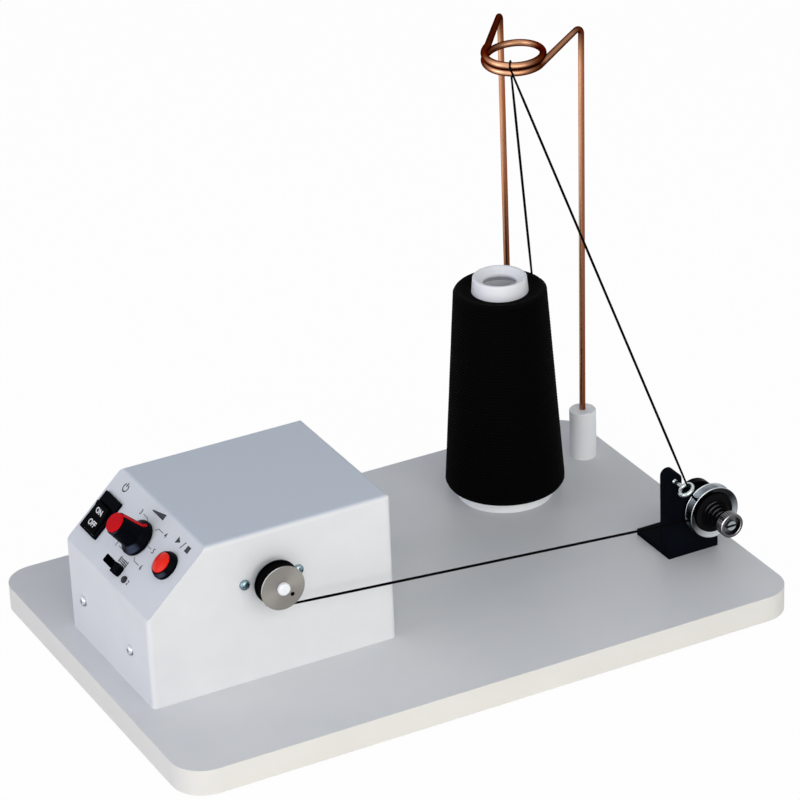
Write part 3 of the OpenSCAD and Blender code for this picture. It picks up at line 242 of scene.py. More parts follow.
# low to high as the value goes from start to stop, where noise mostly lies
def spread(tree, value, low, high, start=0.3, stop=0.7):
    span = {"From Min": start, "From Max": stop, "To Min": low, "To Max": high}
    return addNode(tree, "MapRange", {"Value": value, **span}).outputs[0]


def surface(tree, shader, shade, gloss, height, relief, depth):
    bump = addNode(tree, "Bump", {"Strength": relief, "Distance": depth, "Height": height}).outputs[0]
    feed(tree, shader, {"Base Color": shade, "Roughness": gloss, "Normal": bump})


# noise drawn out along a coordinate
def stretchedNoise(tree, coordinate, stretch, scale, detail):
    where = addNode(tree, "TexCoord").outputs[coordinate]
    drawn = addNode(tree, "Mapping", {"Vector": where, "Scale": stretch}).outputs[0]
    return addNode(tree, "TexNoise", {"Vector": drawn, "Scale": scale, "Detail": detail}).outputs[0]


# bright sides for the group that masks painted light and shade; upSide marks faces that look straight up for painted
# shade
upSide = {"Bright Side": (0, 0, 1), "From": 0.55, "To": 1.02}
edgeSide = {"Bright Side": (-0.72, 0.0, 0.7), "From": 0.55, "To": 0.95}       # painted highlight on rims that look up and left
bevelSide = {"Bright Side": (-0.6, -0.75, 0.28), "From": 0.84, "To": 0.98}    # painted highlight on bevels that look at the front lamp
dishSide = {"Bright Side": (-0.4, 0.0, 0.92), "From": -0.06, "To": 0.26}      # painted shade on the discs' dished faces where they look away from this side
skirtSide = {"Bright Side": (-0.82, -0.56, 0.05), "From": 0.88, "To": 1.0}    # painted glint on the flared foot of a knob on the panel
glintSide = {"Bright Side": (-0.45, -0.42, 0.79), "From": 0.82, "To": 1.0}    # painted glint along the spring's wire


# a moulded, painted or rolled surface: tone drifts broadly, gloss and relief finely
def grainedFinish(name, tone, drift, rough, grains, relief, depth=0.00005, dark=None, top=None, side={}, **plain):
    mat, tree, shader = startFinish(name, **plain)
    grain = placeGroup(tree, grainGroup, Grains=grains)
    shade = mixColour(tree, spread(tree, grain["Broad"], 0, 1), tone, drift)
    if top:                      # painted shade on faces that look straight up
        shade = mixColour(tree, placeGroup(tree, paintedLightGroup, **upSide)["Share"], shade, top)
    if dark:                     # painted shade on faces that look away from the bright side; with a narrow side, the lit tone is a painted glint
        shade = mixColour(tree, placeGroup(tree, paintedLightGroup, **side)["Share"], dark, shade)
    surface(tree, shader, shade, spread(tree, grain["Fine"], *rough), grain["Fine"], relief, depth)
    return mat


# a turned metal face: rings round the axis, painted shade where it faces away from the bright side, a painted highlight
# on its rim
turnedWork = {"grains": 2200, "grainShare": 0.25, "glossSpan": (0.35, 0.85), "depth": 0.00003,
              "wallShadeTone": (0.012, 0.012, 0.012), "wallStep": 0.001}


def turnedFinish(name, tone, drift, dark, rough, centre, rings, relief, rim, rimSide, side={}, dullFrom=None, **plain):
    w = turnedWork
    mat, tree, shader = startFinish(name, Metallic=1.0, **plain)
    ring = placeGroup(tree, ringGroup, Centre=centre, Rings=rings)["Height"]
    grain = placeGroup(tree, grainGroup, Grains=w["grains"])
    shade = mixColour(tree, spread(tree, ring, 0, 1), tone, drift)
    shade = mixColour(tree, placeGroup(tree, paintedLightGroup, **side)["Share"], dark, shade)
    shade = mixColour(tree, placeGroup(tree, paintedLightGroup, **rimSide)["Share"], shade, rim)
    if dullFrom:                 # painted shade on the side at the wall, by depth in metres
        split = addNode(tree, "SeparateXYZ", {0: addNode(tree, "TexCoord").outputs["Object"]})
        atWall = spread(tree, split.outputs["Y"], 0, 1, dullFrom, dullFrom + w["wallStep"])
        shade = mixColour(tree, atWall, shade, w["wallShadeTone"])
    worked = mathNode(tree, "ADD", ring, mathNode(tree, "MULTIPLY", grain["Fine"], w["grainShare"]))
    surface(tree, shader, shade, spread(tree, worked, *rough, *w["glossSpan"]), ring, relief, w["depth"])
    feed(tree, shader, {"Tangent": addNode(tree, "Tangent", direction_type="RADIAL", axis="Y").outputs[0]})
    return mat


grained = {
    # whiteShell: its top faces are painted darker and bluer, painted shade
    "whiteShell": dict(tone=(0.80, 0.81, 0.82), drift=(0.77, 0.78, 0.795), rough=(0.42, 0.56), grains=1500, relief=0.14,
                       top=(0.59, 0.645, 0.73)),
    "whiteNylon": dict(tone=(0.93, 0.95, 0.985), drift=(0.90, 0.92, 0.96), rough=(0.38, 0.5), grains=700, relief=0.08,
                       Subsurface_Weight=0.3, Subsurface_Radius=(0.004, 0.004, 0.005)),
    "blackSatin": dict(tone=(0.0012, 0.0018, 0.0036), drift=(0.0022, 0.0030, 0.0052), rough=(0.28, 0.42), grains=2600,
                       relief=0.15, Specular_IOR_Level=0.009),
    # knob and start button body: near black, with a painted glint where the flared foot faces the front
    "knobBlackPaintedGlint": dict(tone=(0.05, 0.066, 0.105), drift=(0.04, 0.05, 0.075), rough=(0.28, 0.42), grains=2600,
                      relief=0.12, dark=(0.0012, 0.0018, 0.0036), side=skirtSide, Specular_IOR_Level=0.02),
    "blackGloss": dict(tone=(0.0010, 0.0011, 0.0018), drift=(0.0018, 0.0019, 0.0028), rough=(0.2, 0.32), grains=1800,
                       relief=0.06, Specular_IOR_Level=0.008),
    "blackPaint": dict(tone=(0.0022, 0.0032, 0.0056), drift=(0.0036, 0.0048, 0.0076), rough=(0.4, 0.58), grains=1900,
                       relief=0.3, Specular_IOR_Level=0.004),
    # spring wire: near black where it faces away, with a painted glint along its upper side
    "springWire": dict(tone=(0.13, 0.13, 0.14), drift=(0.08, 0.08, 0.09), rough=(0.24, 0.4), grains=1900, relief=0.2,
                       dark=(0.002, 0.002, 0.003), side=glintSide, Specular_IOR_Level=0.02),
    "blackRubber": dict(tone=(0.02, 0.02, 0.02), drift=(0.035, 0.035, 0.035), rough=(0.7, 0.9), grains=2500,
                        relief=0.3),
    "feltPad": dict(tone=(0.002, 0.002, 0.0025), drift=(0.005, 0.005, 0.006), rough=(0.8, 0.95), grains=3600,
                    relief=0.6, depth=0.0001, Specular_IOR_Level=0.08),
    "redCap": dict(tone=(0.66, 0.004, 0.010), drift=(0.56, 0.003, 0.008), rough=(0.3, 0.44), grains=1600, relief=0.08,
                   Specular_IOR_Level=0.05),
    "redDome": dict(tone=(0.96, 0.026, 0.010), drift=(0.82, 0.016, 0.008), rough=(0.24, 0.38), grains=1200, relief=0.06,
                    Specular_IOR_Level=0.16),
    "lampLens": dict(tone=(0.004, 0.005, 0.007), drift=(0.010, 0.011, 0.015), rough=(0.12, 0.22), grains=900,
                     relief=0.05, Specular_IOR_Level=0.25),
    # blueZinc and brightScrew: dark is painted shade on faces that look away from the bright side
    "blueZinc": dict(tone=(0.24, 0.35, 0.42), drift=(0.32, 0.39, 0.40), rough=(0.18, 0.34), grains=1400, relief=0.15,
                     dark=(0.05, 0.09, 0.13), Metallic=1.0),
    "brightScrew": dict(tone=(0.66, 0.70, 0.74), drift=(0.56, 0.60, 0.63), rough=(0.2, 0.36), grains=1500, relief=0.12,
                        dark=(0.10, 0.12, 0.13), Metallic=1.0),
    "motorSteel": dict(tone=(0.5, 0.51, 0.53), drift=(0.42, 0.43, 0.45), rough=(0.3, 0.48), grains=1200, relief=0.15,
                       Metallic=1.0),
    "greenMask": dict(tone=(0.02, 0.14, 0.06), drift=(0.03, 0.18, 0.08), rough=(0.3, 0.45), grains=900, relief=0.1),
    # chromePlate: dark is painted shade on faces that look away from the bright side
    "chromePlate": dict(tone=(0.52, 0.57, 0.58), drift=(0.42, 0.47, 0.48), rough=(0.1, 0.24), grains=1300, relief=0.05,
                        dark=(0.06, 0.07, 0.075), Metallic=1.0),
    "panelInk": dict(tone=(0.013, 0.015, 0.026), drift=(0.022, 0.025, 0.038), rough=(0.5, 0.7), grains=3000,
                     relief=0.1),
    "switchInk": dict(tone=(0.86, 0.86, 0.86), drift=(0.74, 0.74, 0.75), rough=(0.45, 0.6), grains=3000, relief=0.1),
}
spindleAxis, tensionAxis = (-0.107, -0.07, 0.0824), (0.1804, -0.07, 0.0478)
# turned finishes: dark is painted shade on faces that look away, the rim colour a painted highlight, and the bobbin's
# side at the wall gets painted shade
turned = {
    "turnedBobbin": dict(tone=(0.30, 0.285, 0.262), drift=(0.42, 0.40, 0.375), dark=(0.17, 0.16, 0.15),
                         rough=(0.3, 0.5), centre=spindleAxis, rings=2600, relief=0.25, rim=(0.86, 0.85, 0.83),
                         rimSide=edgeSide, dullFrom=-0.069, Anisotropic=0.7),
    "turnedChrome": dict(tone=(0.56, 0.59, 0.62), drift=(0.42, 0.45, 0.48), dark=(0.014, 0.015, 0.017),
                         rough=(0.1, 0.24), centre=tensionAxis, rings=1500, relief=0.12, rim=(0.88, 0.90, 0.91),
                         rimSide=edgeSide, side=dishSide),
    "knurledSteel": dict(tone=(0.11, 0.11, 0.13), drift=(0.18, 0.175, 0.175), dark=(0.02, 0.018, 0.018),
                         rough=(0.14, 0.3), centre=tensionAxis, rings=1500, relief=0.12, rim=(0.80, 0.80, 0.80),
                         rimSide=bevelSide),
}


# pressed board with a white foil: pearl relief, with a lighter and warmer band on the edge as painted light, and the
# top painted darker as shade
melamine = {"grains": 760, "top": ((0.72, 0.73, 0.745), (0.685, 0.70, 0.725)),
            "litEdge": ((0.84, 0.82, 0.775), (0.80, 0.78, 0.73)), "bandSpan": (0.4, 0.8), "rough": (0.38, 0.58),
            "relief": 0.22, "depth": 0.00006}


def makeMelamine(m):
    mat, tree, shader = startFinish("whiteMelamine")
    grain = placeGroup(tree, grainGroup, Grains=m["grains"])
    split = addNode(tree, "SeparateXYZ", {0: addNode(tree, "NewGeometry").outputs["Normal"]})
    # painted light: faces that look sideways take the lighter edge tone
    flat = spread(tree, mathNode(tree, "ABSOLUTE", split.outputs["Z"]), 0, 1, *m["bandSpan"])
    drift = spread(tree, grain["Broad"], 0, 1)
    litEdge, top = mixColour(tree, drift, *m["litEdge"]), mixColour(tree, drift, *m["top"])
    gloss = spread(tree, grain["Fine"], *m["rough"])
    surface(tree, shader, mixColour(tree, flat, litEdge, top), gloss, grain["Fine"], m["relief"], m["depth"])
    return mat


# bright drawn wire: streaks along it, painted reflections lighter or darker by which way the legs and coil face, and
# painted shade along marked stretches
copper = {"tint": (0.42, 0.2, 0.11, 1), "stretch": (9, 26, 1), "streaks": 1.6, "detail": 2,
          "bright": ((0.88, 0.50, 0.30), (0.74, 0.35, 0.19)), "brightSpan": (0.35, 0.65),
          # legs and coil: painted reflections, dark tone where they face away from their bright side
          "legSide": {"Bright Side": (-0.95, -0.3, 0.05), "From": 0.58, "To": 1.0}, "legDark": (0.32, 0.115, 0.052),
          "coilSide": {"Bright Side": (-0.55, -0.75, 0.35), "From": 0.55, "To": 0.98}, "coilDark": (0.17, 0.052, 0.019),
          "paintedShade": (0.9, 1.0), "paintedShadeTone": (0.045, 0.011, 0.004), "rough": (0.26, 0.4), "relief": 0.06, "depth": 0.0001}


def makeCopper(c):
    mat, tree, shader = startFinish("drawnCopper", Metallic=1.0, Specular_Tint=c["tint"])
    streak = stretchedNoise(tree, "UV", c["stretch"], c["streaks"], c["detail"])
    bend, coil = (addNode(tree, "Attribute", attribute_name=mark).outputs["Fac"] for mark in ("bendShade", "coilShare"))
    bright = mixColour(tree, spread(tree, streak, 0, 1, *c["brightSpan"]), *c["bright"])
    onLegs, onCoil = (placeGroup(tree, paintedLightGroup, **c[k])["Share"] for k in ("legSide", "coilSide"))
    lit = mixColour(tree, coil, mixColour(tree, onLegs, c["legDark"], bright),
                    mixColour(tree, onCoil, c["coilDark"], bright))
    # painted shade where the wire's bendShade marks say, on its darker streaks
    paintedShade = mathNode(tree, "MULTIPLY", bend, spread(tree, streak, *c["paintedShade"]))
    shade = mixColour(tree, paintedShade, lit, c["paintedShadeTone"])
    surface(tree, shader, shade, spread(tree, streak, *c["rough"]), streak, c["relief"], c["depth"])
    return mat


# spun black thread with its plies
spun = {"plies": 2.0, "lay": 420.0, "tones": ((0.0006, 0.0006, 0.0008), (0.0022, 0.0022, 0.0025)), "gloss": 0.022,
        "rough": (0.62, 0.85), "relief": 0.5, "depth": 0.00012}


def makeThreadFinish(s):
    mat, tree, shader = startFinish("spunThread", Specular_IOR_Level=s["gloss"])
    twist = placeGroup(tree, twistGroup, Plies=s["plies"], Lay=s["lay"])
    shade, gloss = mixColour(tree, twist["Fuzz"], *s["tones"]), spread(tree, twist["Fuzz"], *s["rough"])
    height = mathNode(tree, "ADD", twist["Height"], twist["Fuzz"])
    surface(tree, shader, shade, gloss, height, s["relief"], s["depth"])
    return mat


# sawn timber of the hidden cleats
timber = {"stretch": (220, 14, 220), "rings": 1, "detail": 6, "tones": ((0.56, 0.38, 0.21), (0.40, 0.25, 0.12)),
          "rough": (0.55, 0.8), "relief": 0.3, "depth": 0.0002}


def makeTimber(t):
    mat, tree, shader = startFinish("sawnTimber")
    ring = stretchedNoise(tree, "Object", t["stretch"], t["rings"], t["detail"])
    shade = mixColour(tree, spread(tree, ring, 0, 1), *t["tones"])
    surface(tree, shader, shade, spread(tree, ring, *t["rough"]), ring, t["relief"], t["depth"])
    return mat


finishes = {name: grainedFinish(name, **look) for name, look in grained.items()}
finishes.update({name: turnedFinish(name, **look) for name, look in turned.items()})
finishes.update(whiteMelamine=makeMelamine(melamine), drawnCopper=makeCopper(copper),
                spunThread=makeThreadFinish(spun), sawnTimber=makeTimber(timber))

nodeFinish = {
    "whiteMelamine": ["base_board"],
    "blackRubber": ["rubber_feet"],
    "blueZinc": ["base_screws", "motor_screws"],
    "whiteShell": ["control_housing"],
    "sawnTimber": ["housing_cleats"],
    "brightScrew": ["housing_screws", "pot_nut", "inlet_nut", "pot_shaft"],
    "knobBlackPaintedGlint": ["speed_knob", "start_button_body"],
    "blackSatin": ["rocker_body", "start_button_nut", "fill_switch_body", "power_inlet", "motor_end_cap",
                   "board_parts", "fill_switch_slider"],
    "blackGloss": ["rocker_paddle", "tension_bush", "disc_spacer"],
    "redCap": ["knob_cap"],
    "redDome": ["start_button_cap"],
    "lampLens": ["fill_lamp"],
    "motorSteel": ["potentiometer", "motor_can", "motor_shaft"],
    "greenMask": ["circuit_board"],
    "whiteNylon": ["board_spacers", "spindle", "cone_peg", "cone_tube", "mast_post_left", "mast_post_right"],
    "turnedBobbin": ["bobbin"],
    "spunThread": ["bobbin_thread_core", "bobbin_thread", "cone_thread_core", "cone_thread", "running_thread"],
    "drawnCopper": ["thread_mast"],
    "blackPaint": ["tension_bracket", "bracket_screws"],
    "springWire": ["tension_spring"],
    "feltPad": ["pressure_pad"],
    "chromePlate": ["thread_eyelet", "tension_stud"],
    "turnedChrome": ["rear_disc", "front_disc"],
    "knurledSteel": ["tension_nut"],
}


def dressNodes(table):
    for finish, names in table.items():
        for name in names:
            o = nodes[name]
            o.data.materials.clear()
            o.data.materials.append(finishes[finish])


dressNodes(nodeFinish)
print("finishes made:", len(finishes))


# a piece that rides a body and may stand for nodes of the source
def addPiece(name, mesh, finish, body, slot, *stoodFor):
    mesh.name = name
    mesh.materials.clear()
    mesh.materials.append(finishes[finish])
    for p in mesh.polygons:
        p.use_smooth = True
    o = bpy.data.objects.new(name, mesh)
    bpy.context.scene.collection.objects.link(o)
    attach(o, body)
    if stoodFor:
        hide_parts(*stoodFor)
    return o


# a round tube along points, with u round it and v along it in metres, and marks kept per point
def tubeMesh(path, radii, sides, marks={}):
    heads = [(path[min(i + 1, len(path) - 1)] - path[max(i - 1, 0)]).normalized() for i in range(len(path))]
    side = heads[0].orthogonal().normalized()
    verts, runs, run = [], [], 0.0
    for i, p in enumerate(path):
        side = (side - side.dot(heads[i]) * heads[i]).normalized()
        other = heads[i].cross(side)
        run += (p - path[i - 1]).length if i else 0
        runs.append(run)
        for k in range(sides):
            a = 2 * math.pi * k / sides
            verts.append(p + radii[i] * (math.cos(a) * side + math.sin(a) * other))
    faces, uvs = [], []
    for i in range(len(path) - 1):
        for k in range(sides):
            j = (k + 1) % sides
            faces.append((i * sides + k, i * sides + j, (i + 1) * sides + j, (i + 1) * sides + k))
            uvs += [(k / sides, runs[i]), ((k + 1) / sides, runs[i]),
                    ((k + 1) / sides, runs[i + 1]), (k / sides, runs[i + 1])]
    last = (len(path) - 1) * sides
    faces += [tuple(reversed(range(sides))), tuple(range(last, last + sides))]
    uvs += [(0, 0)] * sides + [(0, runs[-1])] * sides
    mesh = bpy.data.meshes.new("tube")
    mesh.from_pydata(verts, [], faces)
    layer = mesh.uv_layers.new(name="UVMap")
    for loop, uv in zip(layer.data, uvs):
        loop.uv = uv
    for label, values in marks.items():
        attribute = mesh.attributes.new(label, "FLOAT", "POINT")
        for i, value in enumerate(values):
            for k in range(sides):
                attribute.data[i * sides + k].value = value
    mesh.update()
    return mesh


def faceOut(mesh):
    bm = bmesh.new()
    bm.from_mesh(mesh)
    bmesh.ops.recalc_face_normals(bm, faces=bm.faces)
    bm.to_mesh(mesh)
    bm.free()
    return mesh


# a closed outline of (radius, height) points turned round Z
def turnedMesh(outline, steps):
    verts = [(r * math.cos(2 * math.pi * k / steps), r * math.sin(2 * math.pi * k / steps), z)
             for k in range(steps) for r, z in outline]
    n = len(outline)
    faces = [(k * n + i, ((k + 1) % steps) * n + i, ((k + 1) % steps) * n + (i + 1) % n, k * n + (i + 1) % n)
             for k in range(steps) for i in range(n)]
    mesh = bpy.data.meshes.new("turned")
    mesh.from_pydata(verts, [], faces)
    return faceOut(mesh)


# copper mast: two legs, two bends, arms and one and a half turns of coil; pairs are left and right
mast = {"left": (152, 125), "right": (179.5, 81), "lean": 3.6, "seat": 12.7, "postTop": 32.7, "overPost": 2,
        "height": 291.4, "dia": 3.8, "coilDia": 4.36, "bend": 3.4, "coilR": 17.7, "reach": 31, "drop": 9.6,
        "pitch": 4.5, "tilt": 1.7, "coilTurn": 540, "dips": (0.05, 1.0), "sides": 20, "legSteps": 24, "bendSteps": 14,
        "armSteps": 8, "coilSteps": 108}
# painted shade on the wire, 0 to 1: legs darker towards the bottom, the left one darker still near the cone as a
# painted reflection of it, both darker again below the bend and in the bends, and the arms and the coil's sides painted
# darker as shade
mastShade = {"seat": 0.6, "foot": 0.55, "leg": 0.5, "legFade": 0.55, "coneReflectStarts": (1.34, 0), "coneReflectMost": 0.78,
             "coneReflectFade": 1.886, "neck": 12, "neckFrom": 11.2, "bend": 0.9, "arms": (1.0, 0.6), "coilSides": 0.85,
             "sidePower": 1.5, "coilBack": 0.2}


# a point of the coil's middle line, turn in degrees from the left arm
def coilPoint(m, turn):
    left, right = Vector(m["left"]), Vector(m["right"])
    across = (right - left).normalized()
    side = Vector((across.y, -across.x))
    middle = (left + right) / 2 + m["reach"] * side
    a = math.radians(turn)
    p = middle - m["coilR"] * math.cos(a) * across + m["coilR"] * math.sin(a) * side
    return Vector((p.x, p.y, m["height"] - m["drop"] - m["pitch"] * turn / 360 - m["tilt"] * math.sin(a)))


# points of the wire's middle line, their radii, and the marks of painted shade and coil share that its finish reads
def mastPath(m, shade):
    thin, thick = m["dia"] / 2, m["coilDia"] / 2

    def leg(side, spot, lean, target):
        dip, reflectStart = m["dips"][side], shade["coneReflectStarts"][side]
        top = spot + Vector((lean, 0))
        way = Vector((target.x - top.x, target.y - top.y))
        ahead = way.normalized()
        bendZ = m["height"] - m["dia"] / 2 - m["bend"] - dip
        fall = 90 + math.degrees(math.atan((m["height"] - dip - target.z) / way.length))
        low = Vector((spot.x, spot.y, m["postTop"] + m["overPost"]))
        high = Vector((top.x, top.y, bendZ))
        made = [(Vector((spot.x, spot.y, m["seat"])), shade["seat"], thin, 0), (low, shade["foot"], thin, 0)]
        for k in range(1, m["legSteps"]):
            share = k / m["legSteps"]
            coneReflect = min(shade["coneReflectMost"], reflectStart - shade["coneReflectFade"] * share)
            legShade = max(shade["leg"] - shade["legFade"] * share, coneReflect, shade["neck"] * share - shade["neckFrom"])
            made.append((low.lerp(high, share), legShade, thin, 0))
        for k in range(m["bendSteps"] + 1):
            a = math.radians(fall * k / m["bendSteps"])
            out = m["bend"] * (1 - math.cos(a))
            place = Vector((top.x + ahead.x * out, top.y + ahead.y * out, bendZ + m["bend"] * math.sin(a)))
            made.append((place, shade["bend"], thin, k / m["bendSteps"]))
        end = made[-1][0]
        for k in range(1, m["armSteps"]):
            share = k / m["armSteps"]
            made.append((end.lerp(target, share), shade["arms"][side], thin + (thick - thin) * share, 1))
        return made

    whole = leg(0, Vector(m["left"]), 0, coilPoint(m, 0))
    for k in range(m["coilSteps"] + 1):
        turn = m["coilTurn"] * k / m["coilSteps"]
        a = math.radians(turn)
        sides = shade["coilSides"] * abs(math.cos(a)) ** shade["sidePower"]
        whole.append((coilPoint(m, turn), sides + shade["coilBack"] * max(0, -math.sin(a)), thick, 1))
    whole += list(reversed(leg(1, Vector(m["right"]), m["lean"], coilPoint(m, m["coilTurn"]))))
    places, shades, radii, shares = zip(*whole)
    points = [p * mm + Vector((0, 0, deck)) for p in places]
    return points, [r * mm for r in radii], {"bendShade": shades, "coilShare": shares}


mastPoints, mastRadii, mastMarks = mastPath(mast, mastShade)
addPiece("copperMast", tubeMesh(mastPoints, mastRadii, mast["sides"], mastMarks), "drawnCopper", "base",
         "copper", "thread_mast")
print("copper mast:", len(mastPoints), "points")

# thread cone: a smooth wound body with crossing turns over it
cone = {"place": (113.5, 64.5), "low": 8, "high": 141, "footR": 37.5, "topR": 28.7, "tubeFoot": 30, "tubeTop": 16.6,
        "tubeH": 148, "tubeGap": 0.1, "thread": 0.9, "bodyShare": 0.9, "up": 62, "down": 62, "startUp": 2.5,
        "sink": 0.2, "lift": 0.18, "footRound": 3, "shoulderR": 2.0, "shoulderSag": 0.6, "dip": 2.5, "dish": (3, 0.4),
        "footStep": 15, "shoulderStep": 10, "topLoops": 10, "topSink": 0.5, "topSag": 0.3, "topIn": 1, "sideSteps": 12,
        "steps": 96}


def coneR(c, z):
    return c["footR"] + (c["topR"] - c["footR"]) * (z - c["low"]) / (c["high"] - c["low"])


# running thread: off the cone, over the coil, through the eye, round the stud and onto the bobbin
threadRoute = {"dia": 1.2, "fullDia": 1.56, "reach": 24, "freeSpan": 72, "sides": 10, "slack": 0.1, "coneTurn": 19,
               "coneHeights": (125, 135), "coilTurn": 112, "over": 2.89, "overStep": 18, "under": 1,
               "eye": (158.6, -76.2, 51.9), "eyeLay": ((1.4, 0.8, 2), (2, 0.4, -0.8), (5.2, 2.6, -5.5)),
               "stud": (180.4, 28.8), "studWrap": 3.7, "studStart": 75, "studStep": 8, "studEnd": 6, "discY": -69.7,
               "discEntry": (-11.4, -0.2, 10.6), "bobbin": (-107, 63.4), "bobbinWrap": 13.7, "bobbinY": -69.75,
               "bobbinStep": 4, "bobbinPoints": 10}


def threadPath(t, c, m):
    points = []
    for z in t["coneHeights"]:
        r = coneR(c, z) + t["dia"] / 2 + t["slack"]
        a = math.radians(t["coneTurn"])
        points.append(Vector((c["place"][0] + r * math.cos(a), c["place"][1] + r * math.sin(a), z)))
    over = coilPoint(m, t["coilTurn"])
    out = over - coilPoint(m, t["coilTurn"] + 180)
    out = Vector((out.x, out.y, 0)).normalized()
    r = t["over"]
    points.append(over - r * out - Vector((0, 0, m["pitch"] + t["under"])))
    for a in range(180, -1, -t["overStep"]):
        points.append(over + r * (math.cos(math.radians(a)) * out + Vector((0, 0, math.sin(math.radians(a))))))
    points += [Vector(t["eye"]) + Vector(q) for q in t["eyeLay"]]
    x, y, z = t["discEntry"]
    points.append(Vector((t["stud"][0] + x, t["discY"] + y, t["stud"][1] + z)))
    stud, bobbin = Vector(t["stud"]), Vector(t["bobbin"])
    between = bobbin - stud
    rise = math.atan2(between.y, -between.x) - math.asin((t["bobbinWrap"] - t["studWrap"]) / between.length)
    off = -90 - math.degrees(rise)

    def wrapPoint(mid, r, y, a):
        return Vector((mid.x + r * math.cos(math.radians(a)), y, mid.y + r * math.sin(math.radians(a))))

    turn = t["studStart"]
    while turn > off + t["studEnd"]:
        points.append(wrapPoint(stud, t["studWrap"], t["discY"], turn))
        turn -= t["studStep"]
    points.append(wrapPoint(stud, t["studWrap"], t["discY"], off))
    points += [wrapPoint(bobbin, t["bobbinWrap"], t["bobbinY"], off - t["bobbinStep"] * k)
               for k in range(t["bobbinPoints"])]
    return [p * mm + Vector((0, 0, deck)) for p in points]


# the thread fluffs out where it hangs free and is drawn tight where it touches
def fluffRoute(points, t):
    thin, full, reach = t["dia"] / 2 * mm, t["fullDia"] / 2 * mm, t["reach"] * mm
    path, radii = [], []
    for a, b in zip(points, points[1:]):
        path.append(a)
        radii.append(thin)
        if (b - a).length > t["freeSpan"] * mm:
            step = (b - a).normalized() * reach
            path += [a + step, b - step]
            radii += [full, full]
    return path + [points[-1]], radii + [thin]


route = threadPath(threadRoute, cone, mast)
runningThread = addPiece("runningThread", tubeMesh(*fluffRoute(route, threadRoute), threadRoute["sides"]),
                         "spunThread", "base", "thread", "running_thread")


# Geometry Nodes: a wire wound into a spiral, straight or tapering
def makeSpiralTree():
    tree = bpy.data.node_groups.new("woundSpiral", "GeometryNodeTree")
    for label, kind, value in (("Loops", "NodeSocketFloat", 10.0), ("Points", "NodeSocketInt", 32),
                               ("Start Radius", "NodeSocketFloat", 0.02), ("End Radius", "NodeSocketFloat", 0.02),
                               ("Rise", "NodeSocketFloat", 0.1), ("Wire Radius", "NodeSocketFloat", 0.0005),
                               ("Wire Sides", "NodeSocketInt", 8), ("Other Way", "NodeSocketBool", False)):
        socket = tree.interface.new_socket(label, in_out="INPUT", socket_type=kind)
        socket.default_value = value
    tree.interface.new_socket("Finish", in_out="INPUT", socket_type="NodeSocketMaterial")
    tree.interface.new_socket("Geometry", in_out="OUTPUT", socket_type="NodeSocketGeometry")
    given, out = tree.nodes.new("NodeGroupInput").outputs, tree.nodes.new("NodeGroupOutput")
    spiral = tree.nodes.new("GeometryNodeCurveSpiral")
    section = tree.nodes.new("GeometryNodeCurvePrimitiveCircle")
    sweep = tree.nodes.new("GeometryNodeCurveToMesh")
    sweep.inputs["Fill Caps"].default_value = True
    real = tree.nodes.new("GeometryNodeRealizeInstances")
    paint = tree.nodes.new("GeometryNodeSetMaterial")
    along = tree.nodes.new("GeometryNodeSplineParameter")
    around = tree.nodes.new("GeometryNodeSplineParameter")
    keepAlong = tree.nodes.new("GeometryNodeCaptureAttribute")
    keepAround = tree.nodes.new("GeometryNodeCaptureAttribute")
    keepAlong.capture_items.new("FLOAT", "Run")
    keepAround.capture_items.new("FLOAT", "Round")
    both = tree.nodes.new("ShaderNodeCombineXYZ")
    store = tree.nodes.new("GeometryNodeStoreNamedAttribute")
    store.data_type, store.domain = "FLOAT2", "CORNER"
    store.inputs["Name"].default_value = "UVMap"
    feed(tree, spiral, {"Resolution": given["Points"], "Rotations": given["Loops"], "Height": given["Rise"],
                        "Start Radius": given["Start Radius"], "End Radius": given["End Radius"],
                        "Reverse": given["Other Way"]})
    feed(tree, section, {"Radius": given["Wire Radius"], "Resolution": given["Wire Sides"]})
    feed(tree, keepAlong, {"Geometry": spiral.outputs[0], "Run": along.outputs["Length"]})
    feed(tree, keepAround, {"Geometry": section.outputs[0], "Round": around.outputs["Factor"]})
    feed(tree, sweep, {"Curve": keepAlong.outputs["Geometry"], "Profile Curve": keepAround.outputs["Geometry"]})
    feed(tree, both, {"X": keepAround.outputs["Round"], "Y": keepAlong.outputs["Run"]})
    feed(tree, store, {"Geometry": sweep.outputs[0], "Value": both.outputs[0]})
    feed(tree, real, {0: store.outputs[0]})
    feed(tree, paint, {"Geometry": real.outputs[0], "Material": given["Finish"]})
    feed(tree, out, {"Geometry": paint.outputs[0]})
    return tree


spiralTree = makeSpiralTree()


def woundMesh(finish, place, **values):
    holder = bpy.data.objects.new("winder", bpy.data.meshes.new("winder"))
    bpy.context.scene.collection.objects.link(holder)
    modifier = holder.modifiers.new("woundSpiral", "NODES")
    modifier.node_group = spiralTree
    sockets = {s.name: s.identifier for s in spiralTree.interface.items_tree if s.in_out == "INPUT"}
    modifier[sockets["Finish"]] = finishes[finish]
    for label, value in values.items():
        modifier[sockets[label.replace("_", " ")]] = value
    bpy.context.view_layer.update()
    ready = holder.evaluated_get(bpy.context.evaluated_depsgraph_get())
    mesh = bpy.data.meshes.new_from_object(ready)
    holder.modifiers.remove(modifier)
    bpy.data.objects.remove(holder)
    mesh.transform(place)
    return mesh


def joinMeshes(meshes):
    bm = bmesh.new()
    for mesh in meshes:
        bm.from_mesh(mesh)
    whole = bpy.data.meshes.new("joined")
    bm.to_mesh(whole)
    bm.free()
    return whole


# turns of thread on a core, sizes in mm
turnsMade = {"points": 40, "sides": 6}


